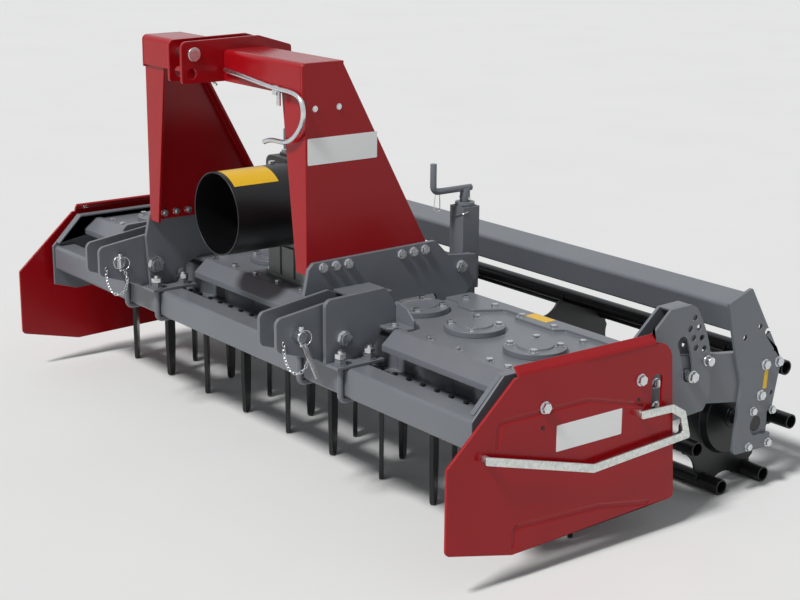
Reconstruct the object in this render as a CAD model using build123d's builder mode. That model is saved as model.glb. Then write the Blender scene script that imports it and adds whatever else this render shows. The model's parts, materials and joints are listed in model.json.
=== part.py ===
from build123d import *
from math import cos, radians, sin
import os

os.makedirs("parts", exist_ok=True)

# Power harrow with a cage roller, in millimetres.
# +X runs along the working width, -Y points to the tractor, +Z is up and
# the tine tips and the roller stand on Z = 0.

# Rotors and tines
ROTOR_COUNT = 9
ROTOR_PITCH = 220
BLADE_INSET = 14
TINE_RADIUS = ROTOR_PITCH / 2 - BLADE_INSET
TINE_ANGLE = 45
TINE_TWIST_ANGLE = 7.6
TINE_WIDTH = 55
TINE_TIP_WIDTH = 36
TINE_THICKNESS = 12
TINE_TOP_Z = 288
TINE_BEND_Z = 110
HOLDER_TOP_Z = 300
HOLDER_BOTTOM_Z = 236
HOLDER_WIDTH = 62
HUB_RADIUS = 52
ROTOR_SHAFT_RADIUS = 22

# Gear trough that carries the rotors
END_MARGIN = 98
TROUGH_HALF_LENGTH = ROTOR_PITCH * (ROTOR_COUNT - 1) / 2 + END_MARGIN
TROUGH_HALF_DEPTH = 128
TROUGH_BOTTOM_Z = 348
COVER_BOTTOM_Z = 452
COVER_THICKNESS = 10
COVER_TOP_Z = COVER_BOTTOM_Z + COVER_THICKNESS
COVER_FRONT_Y = -162
COVER_REAR_Y = 190
FLANGE_THICKNESS = 10
FLANGE_HALF_DEPTH = 168
HOUSING_RADIUS = 84
HOUSING_NECK_RADIUS = 60
HOUSING_BOTTOM_Z = 306
CASE_PROUD = 22
CASE_TOP_Z = 430
CAP_RADIUS = 76
CAP_HEIGHT = 14
CAP_RING_RADIUS = 45
CAP_RING_HEIGHT = 4
STRIP_THICKNESS = 8

# Headstock: front bar, end plates and their bolted guards
BAR_HEIGHT = 76
BAR_DEPTH = 70
BAR_WALL = 6
BAR_CORNER = 10
BAR_FRONT_Y = -306
BAR_TOP_Z = 391
END_PLATE_THICKNESS = 8
END_LIP_WIDTH = 17
SIDE_PLATE_GAP = 30
SIDE_PLATE_THICKNESS = 8
GUARD_BAR_GAP = 16

# Roller arms and their depth sectors
PIVOT_Y = 120
PIVOT_Z = 340
PIVOT_RADIUS = 14
SLOT_RADIUS = 253
SLOT_TO_STOPS = 37
STOP_ROW_GAP = 26
STOPS_TO_RIM = 19
SLOT_LOW_ANGLE = 6.8
ARM_TRAVEL_ANGLE = 20
SLOT_BOLT_RADIUS = 14
SLOT_HALF_WIDTH = 17
WALL_GAP = 1
WALL_THICKNESS = 8
ARM_PLAY = 5
ARM_THICKNESS = 21
PIVOT_STAND = 4
SLOT_BOLT_STAND = 12

# Roller
ROLLER_Y = 645
TUBE_COUNT = 7
TUBE_RADIUS = 20
TUBE_WALL = 4
TUBE_CENTRES = 184
TUBE_PLAY = 7
DISC_INSET = 70
DISC_COUNT = 4
DISH_RADIUS = 105
DISH_DEPTH = 22
DISH_TAPER_ANGLE = 15
DISC_THICKNESS = 6
AXLE_RADIUS = 30
STUB_RADIUS = 20
END_LUG_THICKNESS = 10

# Rear bar on the roller frame
REAR_BAR_SIZE = 80
REAR_BAR_WALL = 5
REAR_BAR_TILT_ANGLE = 16
REAR_BAR_Y = 561
REAR_BAR_Z = 495

# Three-point hitch
HITCH_X = 446
HITCH_PLATE_X = 388
HITCH_PLATE_THICKNESS = 12
CLEVIS_GAP = 62
CLEVIS_THICKNESS = 11
LOWER_PIN_Y = -406
LOWER_PIN_Z = 477
LOWER_PIN_RADIUS = 14.2
MAST_TOP_Z = 1098
MAST_FRONT_Y = -311
MAST_WEB = 8
TOP_PLATE_GAP = 52
TOP_PLATE_THICKNESS = 10
TOP_PIN_Y = -406
TOP_PIN_RISE = 1
TOP_PIN_RADIUS = 12.7
SPARE_HOLE_DROP = 48

# Drive input
INPUT_Z = 677
GUARD_RADIUS = 110
GUARD_WALL = 4
GUARD_FRONT_Y = -330
GEARBOX_FRONT_Y = -100
SPLINE_RADIUS = 17.4
SPLINE_COUNT = 6

# Levelling bar and its cranks
CRANK_X = 343
CRANK_Y = 225
CRANK_TUBE = 56
LEG_SIZE = 44

# Fits
PIN_FIT = 0.05
CLEARANCE = 0.3
LEG_FIT = 0.4

# Smaller sizes; a point is (Y, Z), or (X, Z) for the hook
STOP_HOLE_RADIUS = 8
STOP_OUTER_ANGLE = 10.6
STOP_OUTER_COUNT = 5
STOP_INNER_ANGLE = 19.2
STOP_INNER_COUNT = 3
STOP_STEP_ANGLE = 5.6
RIM_LOW_ANGLE = 12
RIM_SPREAD_ANGLE = 24
FOOT_INSET = 3
FOOT_CHAMFER = 22
SECTOR_STRIP = ((300, 546), (370, 548), (370, 541), (303, 539))
COVER_ARM_Y = 150
HOUSING_STEP_Z = 322
BORE_DEPTH = 30
SHAFT_LENGTH = 34
HOLDER_LENGTH = 140
PAD_DEPTH = 34
TINE_TIP_RADIUS = 14
GUARD_END_INSET = 4
GUARD_OUTER_START = 552
GUARD_MIDDLE_HALF = 336
PEDESTAL_HALF_WIDTH = 95
PEDESTAL_REAR_Y = 110
GEARBOX_HALF_WIDTH = 118
GEARBOX_CORNER = 22
GEARBOX_REAR_Y = 130
NOSE_RADIUS = 62
NOSE_LENGTH = 30
COLLAR_RADIUS = 28
COLLAR_DEPTH = 20
COLLAR_PLAY = 1
COLLAR_LENGTH = 12
SPLINE_LENGTH = 100
SPLINE_DEPTH = 2
SPLINE_WIDTH = 3
UBOLT_RADIUS = 8
UBOLT_SPACING = 88
UBOLT_STAND = 26
UBOLT_BEND = 15
CLAMP_THICKNESS = 8
CLAMP_FRONT_Y = -336
CLAMP_REAR_Y = -196
CLAMP_HALF_WIDTH = 108
CHEEK_X = 497
PIN_HEAD = 5
LOWER_PIN_END = 22
TOP_PIN_END = 22
MAST_FOOT_Z = 588
MAST_FLANGE_FOOT = 46
MAST_FLANGE_TOP = 110
MAST_REAR_FLANGE = 36
MAST_REAR_SLANT = 9
MAST_REAR_TOP = (-198, MAST_TOP_Z)
MAST_REAR_FOOT = (80, MAST_FOOT_Z)
BEAM_DEPTH = 72
BEAM_CORNER = 14
MAST_NOSE_DROP = 6
BEAM_LIP_Y = -256
BEAM_LIP_SPANS = ((-276, -36), (36, 276))
# Ear of the top link: (Y, height over the mast, corner radius)
EAR_OUTLINE = (
    (-441, -BEAM_DEPTH, 8),
    (-441, 33, 16),
    (-212, 37, 12),
    (-114, 8, 8),
    (-112, -BEAM_DEPTH, 8),
)
SPARE_HOLE_Y = -412
SPARE_HOLE_RADIUS = 13
HOOK_Y = -325
HOOK_RADIUS = 6
# Shaft hook: (X, depth under the mast's top)
HOOK_POINTS = (
    (52, 42),
    (170, 52),
    (296, 62),
    (350, 64),
    (392, 80),
    (400, 113),
    (378, 154),
    (328, 186),
    (272, 190),
    (228, 200),
)
# Side plate: (Y, Z, corner radius)
SIDE_OUTLINE = (
    (-411, 114, 14),
    (-411, 315, 8),
    (-222, 484, 8),
    (267, 487, 48),
    (299, 84, 14),
    (-219, 68, 8),
)
SIDE_SLOT_CENTRE = (224, 363)
SIDE_SLOT_LENGTH = 96
SIDE_SLOT_WIDTH = 34
# Leaning top edge of the side plate: (X from the plate's inner face, Z, corner radius)
SIDE_LEAN = (
    (SIDE_PLATE_THICKNESS, 470, 0),
    (SIDE_PLATE_THICKNESS, 491, 16),
    (-7, 509, 2),
    (-13, 504, 2),
    (0, 488, 8),
    (0, 470, 0),
)
SIDE_LEAN_SPAN = (-212, 215)
BEAD_WIDTH = 16
BEAD_DEPTH = 3
BEAD_TAPER_ANGLE = 55
BEAD_RADIUS = 12
# Pressed beads of the side plate, as (Y, Z)
BEADS = (
    ((-270, 330), (-266, 391), (1, 390), (185, 341)),
    ((-216, 84), (-213, 133), (48, 121), (214, 90)),
)
SPACER_PLACES = ((-134, 401), (167, 408))
SPACER_RADIUS = 15
GUARD_BAR_THICKNESS = 5
GUARD_BAR_WIDTH = 20
GUARD_BAR_BOLTS = ((-308, 318), (165, 328))
GUARD_BAR_OUTLINE = (
    (-320, 331),
    (-320, 311),
    (7, 220),
    (325, 238),
    (304, 309),
    (262, 334),
    (155, 338),
    (155, 318),
    (256, 315),
    (288, 295),
    (299, 256),
    (7, 241),
)
CRANK_TUBE_LOW_Z = 470
CRANK_TUBE_TOP_Z = 692
BLOCK_DEPTH = 22
BLOCK_HEIGHT = 60
BLOCK_Z = 540
CRANK_CAP_HEIGHT = 10
CRANK_CAP_RADIUS = 26
CRANK_BOSS_RADIUS = 15
CRANK_BOSS_HALF = 12
CRANK_ROD_RADIUS = 9
CRANK_ARM_Z = 738
CRANK_ARM_WIDTH = 14
CRANK_ARM_END = 12
CRANK_GRIP_Y = 118
CRANK_GRIP_LENGTH = 75
LEVEL_INSET = 38
LEVEL_LOW_Z = 90
LEVEL_HEIGHT = 110
LEVEL_THICKNESS = 6
LEVEL_LEDGE = 40
LEG_TOP_Z = 625
ARM_EYE_RADIUS = 44
ARM_OUTLINE = (
    (108, 382),
    (300, 427),
    (447, 405),
    (606, 384),
    (618, 250),
    (457, 277),
    (322, 297),
    (112, 297),
)
# End plate of the roller frame: (Y, Z, corner radius)
LUG_OUTLINE = (
    (592, 554, 6),
    (510, 527, 6),
    (529, 446, 0),
    (551, 369, 40),
    (572, 305, 60),
    (553, 121, 14),
    (694, 117, 14),
    (694, 222, 20),
    (720, 346, 14),
)
# Holes of that plate: (Y, Z, radius)
LUG_HOLES = ((631, 448, 7), (659, 430, 9), (576, 428, 7), (692, 379, 6), (689, 263, 6))
NOTCH_RADIUS = 30
NOTCH_DEPTH = 100
BEARING_PROUD = 6
BEARING_HALF = 44
STUB_INSET = 1
AXLE_END = 27
LOBE_INSET = 9
LOBE_RIM = 6
SCALLOP_CENTRES = 222
SCALLOP_RADIUS = 62

# Heights and places that follow from the sizes above
CASE_RADIUS = TROUGH_HALF_DEPTH + CASE_PROUD
WALL_X = TROUGH_HALF_LENGTH + WALL_GAP
ARM_X = WALL_X + WALL_THICKNESS + ARM_PLAY
ARM_OUTER_X = ARM_X + ARM_THICKNESS
END_PLATE_X = ARM_OUTER_X + ARM_PLAY
SIDE_PLATE_X = END_PLATE_X + END_PLATE_THICKNESS + SIDE_PLATE_GAP
BEARING_X = ARM_X - BEARING_PROUD
TUBE_HALF_LENGTH = ARM_X - TUBE_PLAY
DISC_X = TUBE_HALF_LENGTH - DISC_INSET
STUB_HALF_LENGTH = ARM_OUTER_X - STUB_INSET
LEVEL_HALF_LENGTH = TROUGH_HALF_LENGTH - LEVEL_INSET
STOP_INNER_RADIUS = SLOT_RADIUS + SLOT_TO_STOPS
STOP_OUTER_RADIUS = STOP_INNER_RADIUS + STOP_ROW_GAP
SECTOR_RADIUS = STOP_OUTER_RADIUS + STOPS_TO_RIM
FOOT_Y = PIVOT_Y + SECTOR_RADIUS - FOOT_INSET
BEAM_LOW_Z = MAST_TOP_Z - BEAM_DEPTH
TOP_PIN_Z = MAST_TOP_Z + TOP_PIN_RISE
SPARE_HOLE_Z = TOP_PIN_Z - SPARE_HOLE_DROP
ROLLER_Z = TUBE_CENTRES * cos(radians(180 / TUBE_COUNT)) + TUBE_RADIUS
REAR_TUBE_ANGLE = -90 + 180 / TUBE_COUNT + 360 / TUBE_COUNT
REAR_REACH = ROLLER_Y + TUBE_CENTRES * cos(radians(REAR_TUBE_ANGLE)) + TUBE_RADIUS
CLEVIS_FRONT_Y = -466
ROW_Y = -(REAR_REACH + CLEVIS_FRONT_Y) / 2

# Three planes through the rotor row, so that Y is counted from the rotors
PLAN = Plane(origin=(0, ROW_Y, 0), x_dir=(1, 0, 0), z_dir=(0, 0, 1))
SIDE = Plane(origin=(0, ROW_Y, 0), x_dir=(0, 1, 0), z_dir=(1, 0, 0))
FRONT = Plane(origin=(0, ROW_Y, 0), x_dir=(1, 0, 0), z_dir=(0, -1, 0))

SIDES = (("left", 1), ("right", -1))
ROTOR_XS = [(i - (ROTOR_COUNT - 1) / 2) * ROTOR_PITCH for i in range(ROTOR_COUNT)]


def span(side, near, far):
    """Plane offset and height of a plate between two distances from the middle."""
    return (near, far - near) if side > 0 else (-far, far - near)


def rounded(corners):
    """Flat sketch of a plate from corners that each end with their own radius."""
    with BuildSketch(mode=Mode.PRIVATE) as plate:
        with BuildLine():
            FilletPolyline(
                *[(across, height) for across, height, radius in corners],
                radius=[radius for across, height, radius in corners],
                close=True,
            )
        make_face()
    return plate.sketch


def about_pivot(radius, angle):
    """Point on an arc round the roller arm's pivot."""
    turn = radians(angle)
    return (PIVOT_Y + radius * cos(turn), PIVOT_Z + radius * sin(turn))


def sector_holes():
    """Pivot hole, curved slot and stop holes of one wall, as a flat sketch."""
    with BuildSketch(mode=Mode.PRIVATE) as holes:
        with Locations((PIVOT_Y, PIVOT_Z)):
            Circle(PIVOT_RADIUS + PIN_FIT)
        with BuildLine(mode=Mode.PRIVATE):
            slot = CenterArc((PIVOT_Y, PIVOT_Z), SLOT_RADIUS, SLOT_LOW_ANGLE, ARM_TRAVEL_ANGLE)
        SlotArc(slot, 2 * SLOT_HALF_WIDTH)
        for radius, angle, count in (
            (STOP_OUTER_RADIUS, STOP_OUTER_ANGLE, STOP_OUTER_COUNT),
            (STOP_INNER_RADIUS, STOP_INNER_ANGLE, STOP_INNER_COUNT),
        ):
            with Locations(*[about_pivot(radius, angle + i * STOP_STEP_ANGLE) for i in range(count)]):
                Circle(STOP_HOLE_RADIUS)
    return holes.sketch


# Front bar
with BuildPart() as front_bar:
    with BuildSketch(SIDE.offset(-END_PLATE_X)):
        with Locations((BAR_FRONT_Y + BAR_DEPTH / 2, BAR_TOP_Z - BAR_HEIGHT / 2)):
            RectangleRounded(BAR_DEPTH, BAR_HEIGHT, BAR_CORNER)
            Rectangle(BAR_DEPTH - 2 * BAR_WALL, BAR_HEIGHT - 2 * BAR_WALL, mode=Mode.SUBTRACT)
    extrude(amount=2 * END_PLATE_X)
front_bar.part.label = "front_bar"
export_step(front_bar.part, "parts/front_bar.step")

# Walls of the depth sectors: the rim is an arc about the pivot
SECTOR_FRONT = ((225, 482), (300, 546), (370, 548))
END_FRONT = ((200, 256), (-238, 246), (-312, 268), (-312, 391), (-222, 482))
END_LIP = ((-300, 403), (-222, 482), (140, 482), (140, 476), (-219.5, 476), (-295.7, 398.8))
WALL_FRONT = ((-110, 312), (-140, 348), (-140, 452), (190, 452))
END_FOOT = ((FOOT_Y, 300), (FOOT_Y - FOOT_CHAMFER, 268))
WALL_FOOT = ((FOOT_Y, 330), (FOOT_Y - FOOT_CHAMFER, 312))


def wall_face(front, foot):
    """Sketch of a sector wall from its rear foot round the front to the rim."""
    with BuildSketch(mode=Mode.PRIVATE) as face:
        with BuildLine():
            rim = CenterArc((PIVOT_Y, PIVOT_Z), SECTOR_RADIUS, RIM_LOW_ANGLE, RIM_SPREAD_ANGLE)
            Polyline(rim @ 0, *foot, *front, *SECTOR_FRONT, rim @ 1)
        make_face()
        add(sector_holes(), mode=Mode.SUBTRACT)
    return face.sketch


# End plates: each is also the outer wall of a depth sector
for name, side in SIDES:
    start, depth = span(side, END_PLATE_X, END_PLATE_X + END_PLATE_THICKNESS)
    with BuildPart() as end_plate:
        with BuildSketch(SIDE.offset(start)):
            add(wall_face(END_FRONT, END_FOOT))
        extrude(amount=depth)
        start, depth = span(side, END_PLATE_X - END_LIP_WIDTH, END_PLATE_X)
        with BuildSketch(SIDE.offset(start)):
            Polygon(*END_LIP, align=None)
        extrude(amount=depth)
    end_plate.part.label = f"end_plate_{name}"
    export_step(end_plate.part, f"parts/end_plate_{name}.step")

# Inner walls of the depth sectors, with the strips that close their tops
with BuildPart() as sector_walls:
    for name, side in SIDES:
        start, depth = span(side, WALL_X, WALL_X + WALL_THICKNESS)
        with BuildSketch(SIDE.offset(start)):
            add(wall_face(WALL_FRONT, WALL_FOOT))
        extrude(amount=depth)
        start, depth = span(side, WALL_X + WALL_THICKNESS, END_PLATE_X)
        with BuildSketch(SIDE.offset(start)):
            Polygon(*SECTOR_STRIP, align=None)
        extrude(amount=depth)
sector_walls.part.label = "sector_walls"
export_step(sector_walls.part, "parts/sector_walls.step")

# Gear trough
with BuildPart() as trough:
    with BuildSketch(PLAN.offset(TROUGH_BOTTOM_Z)):
        Rectangle(2 * TROUGH_HALF_LENGTH, 2 * TROUGH_HALF_DEPTH)
    extrude(amount=COVER_BOTTOM_Z - TROUGH_BOTTOM_Z)
trough.part.label = "trough"
export_step(trough.part, "parts/trough.step")

# Lobed strip along the rear of the cover: (X, Y, corner radius)
STRIP_FRONT_Y = 166
STRIP_REAR_Y = 204
STRIP_OUTLINE = (
    (HITCH_PLATE_X + HITCH_PLATE_THICKNESS, STRIP_REAR_Y, 0),
    (HITCH_PLATE_X + HITCH_PLATE_THICKNESS, 118, 0),
    (450, 118, 12),
    (482, 93, 12),
    (536, 93, 14),
    (580, STRIP_FRONT_Y, 12),
    (632, STRIP_FRONT_Y, 8),
    (650, 138, 10),
    (790, 138, 10),
    (808, STRIP_FRONT_Y, 8),
    (TROUGH_HALF_LENGTH, STRIP_FRONT_Y, 0),
    (TROUGH_HALF_LENGTH, STRIP_REAR_Y, 0),
)

# Cover plate, narrower over the roller arms
with BuildPart() as trough_cover:
    with BuildSketch(PLAN.offset(COVER_BOTTOM_Z)):
        Polygon(
            (-END_PLATE_X, COVER_FRONT_Y),
            (END_PLATE_X, COVER_FRONT_Y),
            (END_PLATE_X, COVER_ARM_Y),
            (TROUGH_HALF_LENGTH, COVER_ARM_Y),
            (TROUGH_HALF_LENGTH, COVER_REAR_Y),
            (-TROUGH_HALF_LENGTH, COVER_REAR_Y),
            (-TROUGH_HALF_LENGTH, COVER_ARM_Y),
            (-END_PLATE_X, COVER_ARM_Y),
            align=None,
        )
    extrude(amount=COVER_THICKNESS)
    with BuildSketch(PLAN.offset(COVER_TOP_Z)):
        for name, side in SIDES:
            add(rounded([(side * x, y, radius) for x, y, radius in STRIP_OUTLINE]))
    extrude(amount=STRIP_THICKNESS)
trough_cover.part.label = "trough_cover"
export_step(trough_cover.part, "parts/trough_cover.step")

# Bottom flange with a bearing housing for each rotor; its round cases swell out of the trough
with BuildPart() as bearing_housings:
    with BuildSketch(PLAN.offset(TROUGH_BOTTOM_Z - FLANGE_THICKNESS)):
        Rectangle(2 * TROUGH_HALF_LENGTH, 2 * FLANGE_HALF_DEPTH)
    extrude(amount=FLANGE_THICKNESS)
    with BuildSketch(PLAN.offset(TROUGH_BOTTOM_Z)):
        with Locations(*[(x, 0) for x in ROTOR_XS]):
            Circle(CASE_RADIUS)
        Rectangle(2 * TROUGH_HALF_LENGTH, 2 * CASE_RADIUS, mode=Mode.INTERSECT)
        Rectangle(2 * TROUGH_HALF_LENGTH, 2 * TROUGH_HALF_DEPTH, mode=Mode.SUBTRACT)
    extrude(amount=CASE_TOP_Z - TROUGH_BOTTOM_Z)
    with BuildSketch(PLAN.offset(HOUSING_STEP_Z)):
        with Locations(*[(x, 0) for x in ROTOR_XS]):
            Circle(HOUSING_RADIUS)
    extrude(amount=TROUGH_BOTTOM_Z - FLANGE_THICKNESS - HOUSING_STEP_Z)
    with BuildSketch(PLAN.offset(HOUSING_BOTTOM_Z)):
        with Locations(*[(x, 0) for x in ROTOR_XS]):
            Circle(HOUSING_NECK_RADIUS)
    extrude(amount=HOUSING_STEP_Z - HOUSING_BOTTOM_Z)
    with BuildSketch(PLAN.offset(HOUSING_BOTTOM_Z)):
        with Locations(*[(x, 0) for x in ROTOR_XS]):
            Circle(ROTOR_SHAFT_RADIUS + PIN_FIT)
    extrude(amount=BORE_DEPTH, mode=Mode.SUBTRACT)
bearing_housings.part.label = "bearing_housings"
export_step(bearing_housings.part, "parts/bearing_housings.step")

# Round caps over the rotor gears; the middle one is under the gearbox
CAP_XS = [x for x in ROTOR_XS if x != 0]
with BuildPart() as rotor_caps:
    with BuildSketch(PLAN.offset(COVER_TOP_Z)):
        with Locations(*[(x, 0) for x in CAP_XS]):
            Circle(CAP_RADIUS)
    extrude(amount=CAP_HEIGHT)
    with BuildSketch(PLAN.offset(COVER_TOP_Z + CAP_HEIGHT)):
        with Locations(*[(x, 0) for x in CAP_XS]):
            Circle(CAP_RING_RADIUS)
    extrude(amount=CAP_RING_HEIGHT)
rotor_caps.part.label = "rotor_caps"
export_step(rotor_caps.part, "parts/rotor_caps.step")

# Folded guard along the front edge of the cover, in three lengths
GUARD_OUTLINE = (
    (-148, COVER_TOP_Z),
    (-148, COVER_TOP_Z + 4),
    (-165, COVER_TOP_Z + 4),
    (-204, 434),
    (-204, 418),
    (-200, 418),
    (-200, 432.3),
    (-163.3, COVER_TOP_Z),
)
GUARD_END = END_PLATE_X - GUARD_END_INSET
with BuildPart() as front_guard:
    for start, end in (
        (-GUARD_END, -GUARD_OUTER_START),
        (-GUARD_MIDDLE_HALF, GUARD_MIDDLE_HALF),
        (GUARD_OUTER_START, GUARD_END),
    ):
        with BuildSketch(SIDE.offset(start)):
            Polygon(*GUARD_OUTLINE, align=None)
        extrude(amount=end - start)
front_guard.part.label = "front_guard"
export_step(front_guard.part, "parts/front_guard.step")

# Central gearbox with the bore of the input shaft
with BuildPart() as gearbox:
    with BuildSketch(PLAN.offset(COVER_TOP_Z)):
        with Locations((0, (GEARBOX_FRONT_Y + PEDESTAL_REAR_Y) / 2)):
            RectangleRounded(2 * PEDESTAL_HALF_WIDTH, PEDESTAL_REAR_Y - GEARBOX_FRONT_Y, GEARBOX_CORNER)
    extrude(amount=INPUT_Z - COVER_TOP_Z)
    with BuildSketch(FRONT.offset(-GEARBOX_REAR_Y)):
        with Locations((0, INPUT_Z)):
            RectangleRounded(2 * GEARBOX_HALF_WIDTH, 2 * GEARBOX_HALF_WIDTH, GEARBOX_CORNER)
    extrude(amount=GEARBOX_REAR_Y - GEARBOX_FRONT_Y)
    with BuildSketch(FRONT.offset(-GEARBOX_FRONT_Y)):
        with Locations((0, INPUT_Z)):
            Circle(NOSE_RADIUS)
    extrude(amount=NOSE_LENGTH)
    with BuildSketch(FRONT.offset(NOSE_LENGTH - GEARBOX_FRONT_Y)):
        with Locations((0, INPUT_Z)):
            Circle(COLLAR_RADIUS + PIN_FIT)
    extrude(amount=-COLLAR_DEPTH, mode=Mode.SUBTRACT)
gearbox.part.label = "gearbox"
export_step(gearbox.part, "parts/gearbox.step")

# Round guard over the input shaft
with BuildPart() as pto_guard:
    with BuildSketch(FRONT.offset(-GEARBOX_FRONT_Y)):
        with Locations((0, INPUT_Z)):
            Circle(GUARD_RADIUS)
            Circle(GUARD_RADIUS - GUARD_WALL, mode=Mode.SUBTRACT)
    extrude(amount=GEARBOX_FRONT_Y - GUARD_FRONT_Y)
pto_guard.part.label = "pto_guard"
export_step(pto_guard.part, "parts/pto_guard.step")

# Splined input shaft
with BuildPart() as input_shaft:
    with BuildSketch(FRONT.offset(NOSE_LENGTH - GEARBOX_FRONT_Y - COLLAR_DEPTH + COLLAR_PLAY)):
        with Locations((0, INPUT_Z)):
            Circle(COLLAR_RADIUS)
    extrude(amount=COLLAR_DEPTH + COLLAR_LENGTH)
    with BuildSketch(FRONT.offset(NOSE_LENGTH - GEARBOX_FRONT_Y + COLLAR_LENGTH)):
        with Locations((0, INPUT_Z)):
            Circle(SPLINE_RADIUS)
            with PolarLocations(SPLINE_RADIUS, SPLINE_COUNT):
                Rectangle(2 * SPLINE_DEPTH, SPLINE_WIDTH, mode=Mode.SUBTRACT)
    extrude(amount=SPLINE_LENGTH)
input_shaft.part.label = "input_shaft"
export_step(input_shaft.part, "parts/input_shaft.step")

# Knife blade: (across, height, corner radius)
BLADE_OUTLINE = (
    (-TINE_WIDTH / 2, TINE_TOP_Z, 0),
    (-TINE_WIDTH / 2, TINE_BEND_Z, 0),
    (-TINE_TIP_WIDTH / 2, 0, TINE_TIP_RADIUS),
    (TINE_TIP_WIDTH / 2, 0, TINE_TIP_RADIUS),
    (TINE_WIDTH / 2, TINE_BEND_Z, 0),
    (TINE_WIDTH / 2, TINE_TOP_Z, 0),
)

# Rotors: a shaft in its housing, a flange and a holder with two tine pads
for number, rotor_x in enumerate(ROTOR_XS, start=1):
    twist = TINE_TWIST_ANGLE if number % 2 else -TINE_TWIST_ANGLE
    blades = [
        Location(
            (
                rotor_x + TINE_RADIUS * cos(radians(TINE_ANGLE + turn)),
                TINE_RADIUS * sin(radians(TINE_ANGLE + turn)),
                0,
            ),
            (0, 0, TINE_ANGLE + turn + twist),
        )
        for turn in (0, 180)
    ]
    with BuildPart() as rotor:
        with BuildSketch(PLAN.offset(HOLDER_BOTTOM_Z)):
            with Locations((rotor_x, 0)):
                Circle(HUB_RADIUS)
                Rectangle(HOLDER_LENGTH, HOLDER_WIDTH, rotation=TINE_ANGLE)
            with Locations(*blades):
                with Locations((-(TINE_THICKNESS + PAD_DEPTH) / 2, 0)):
                    Rectangle(PAD_DEPTH, HOLDER_WIDTH)
        extrude(amount=HOLDER_TOP_Z - HOLDER_BOTTOM_Z)
        with BuildSketch(PLAN.offset(HOLDER_TOP_Z)):
            with Locations((rotor_x, 0)):
                Circle(ROTOR_SHAFT_RADIUS)
        extrude(amount=SHAFT_LENGTH)
    rotor.part.label = f"rotor_{number}"
    export_step(rotor.part, f"parts/rotor_{number}.step")

    # Two knife tines, seated on the outer faces of the pads
    with BuildPart() as tines:
        for turn in (0, 180):
            place = radians(TINE_ANGLE + turn)
            normal = radians(TINE_ANGLE + turn + twist)
            blade_plane = Plane(
                origin=(
                    rotor_x + TINE_RADIUS * cos(place),
                    ROW_Y + TINE_RADIUS * sin(place),
                    0,
                ),
                x_dir=(-sin(normal), cos(normal), 0),
                z_dir=(cos(normal), sin(normal), 0),
            )
            with BuildSketch(blade_plane):
                add(rounded(BLADE_OUTLINE))
            extrude(amount=TINE_THICKNESS / 2, both=True)
    tines.part.label = f"tines_{number}"
    export_step(tines.part, f"parts/tines_{number}.step")

# Clamp plates of the hitch brackets on top of the front bar
UBOLT_YS = (BAR_FRONT_Y - UBOLT_RADIUS, BAR_FRONT_Y + BAR_DEPTH + UBOLT_RADIUS)
UBOLT_XS = (HITCH_X - UBOLT_SPACING, HITCH_X + UBOLT_SPACING)
CLAMP_TOP_Z = BAR_TOP_Z + CLAMP_THICKNESS
with BuildPart() as bar_clamps:
    with BuildSketch(PLAN.offset(BAR_TOP_Z)):
        for name, side in SIDES:
            with Locations((side * HITCH_X, (CLAMP_FRONT_Y + CLAMP_REAR_Y) / 2)):
                Rectangle(2 * CLAMP_HALF_WIDTH, CLAMP_REAR_Y - CLAMP_FRONT_Y)
            with Locations(*[(side * x, y) for x in UBOLT_XS for y in UBOLT_YS]):
                Circle(UBOLT_RADIUS + CLEARANCE, mode=Mode.SUBTRACT)
    extrude(amount=CLAMP_THICKNESS)
bar_clamps.part.label = "bar_clamps"
export_step(bar_clamps.part, "parts/bar_clamps.step")

# U-bolts round the front bar
UBOLT_TOP_Z = CLAMP_TOP_Z + UBOLT_STAND
UBOLT_LOW_Z = BAR_TOP_Z - BAR_HEIGHT - UBOLT_RADIUS
with BuildPart() as u_bolts:
    for ubolt_x in [side * x for name, side in SIDES for x in UBOLT_XS]:
        with BuildLine(SIDE.offset(ubolt_x)):
            bend = FilletPolyline(
                (UBOLT_YS[0], UBOLT_TOP_Z),
                (UBOLT_YS[0], UBOLT_LOW_Z),
                (UBOLT_YS[1], UBOLT_LOW_Z),
                (UBOLT_YS[1], UBOLT_TOP_Z),
                radius=UBOLT_BEND,
            )
        with BuildSketch(PLAN.offset(UBOLT_TOP_Z)):
            with Locations((ubolt_x, UBOLT_YS[0])):
                Circle(UBOLT_RADIUS)
        sweep(path=bend)
u_bolts.part.label = "u_bolts"
export_step(u_bolts.part, "parts/u_bolts.step")

# Hitch brackets: tall plate to the mast, two clevis plates and a cheek, as (Y, Z, corner radius)
HITCH_OUTLINE = (
    (-316, 399, 0),
    (-326, 540, 10),
    (-312, 606, 10),
    (-298, 620, 12),
    (82, 626, 16),
    (126, 582, 10),
    (222, 572, 8),
    (222, 505, 10),
    (180, 462, 0),
    (95, 462, 0),
    (84, 486, 12),
    (-84, 486, 12),
    (-95, 462, 0),
    (-166, 462, 0),
    (-232, 430, 10),
    (-232, 399, 0),
)
CLEVIS_REAR_Y = -240
CLEVIS_OUTLINE = (
    (CLEVIS_FRONT_Y, 445, 18),
    (CLEVIS_FRONT_Y, 525, 18),
    (-264, 552, 12),
    (CLEVIS_REAR_Y, 540, 6),
    (CLEVIS_REAR_Y, 399, 0),
    (-330, 399, 10),
)
CHEEK_OUTLINE = (
    (-340, 399, 0),
    (-340, 556, 20),
    (-158, 562, 14),
    (-104, 476, 10),
    (-128, 463, 0),
    (-168, 463, 0),
    (-206, 399, 0),
)
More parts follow.
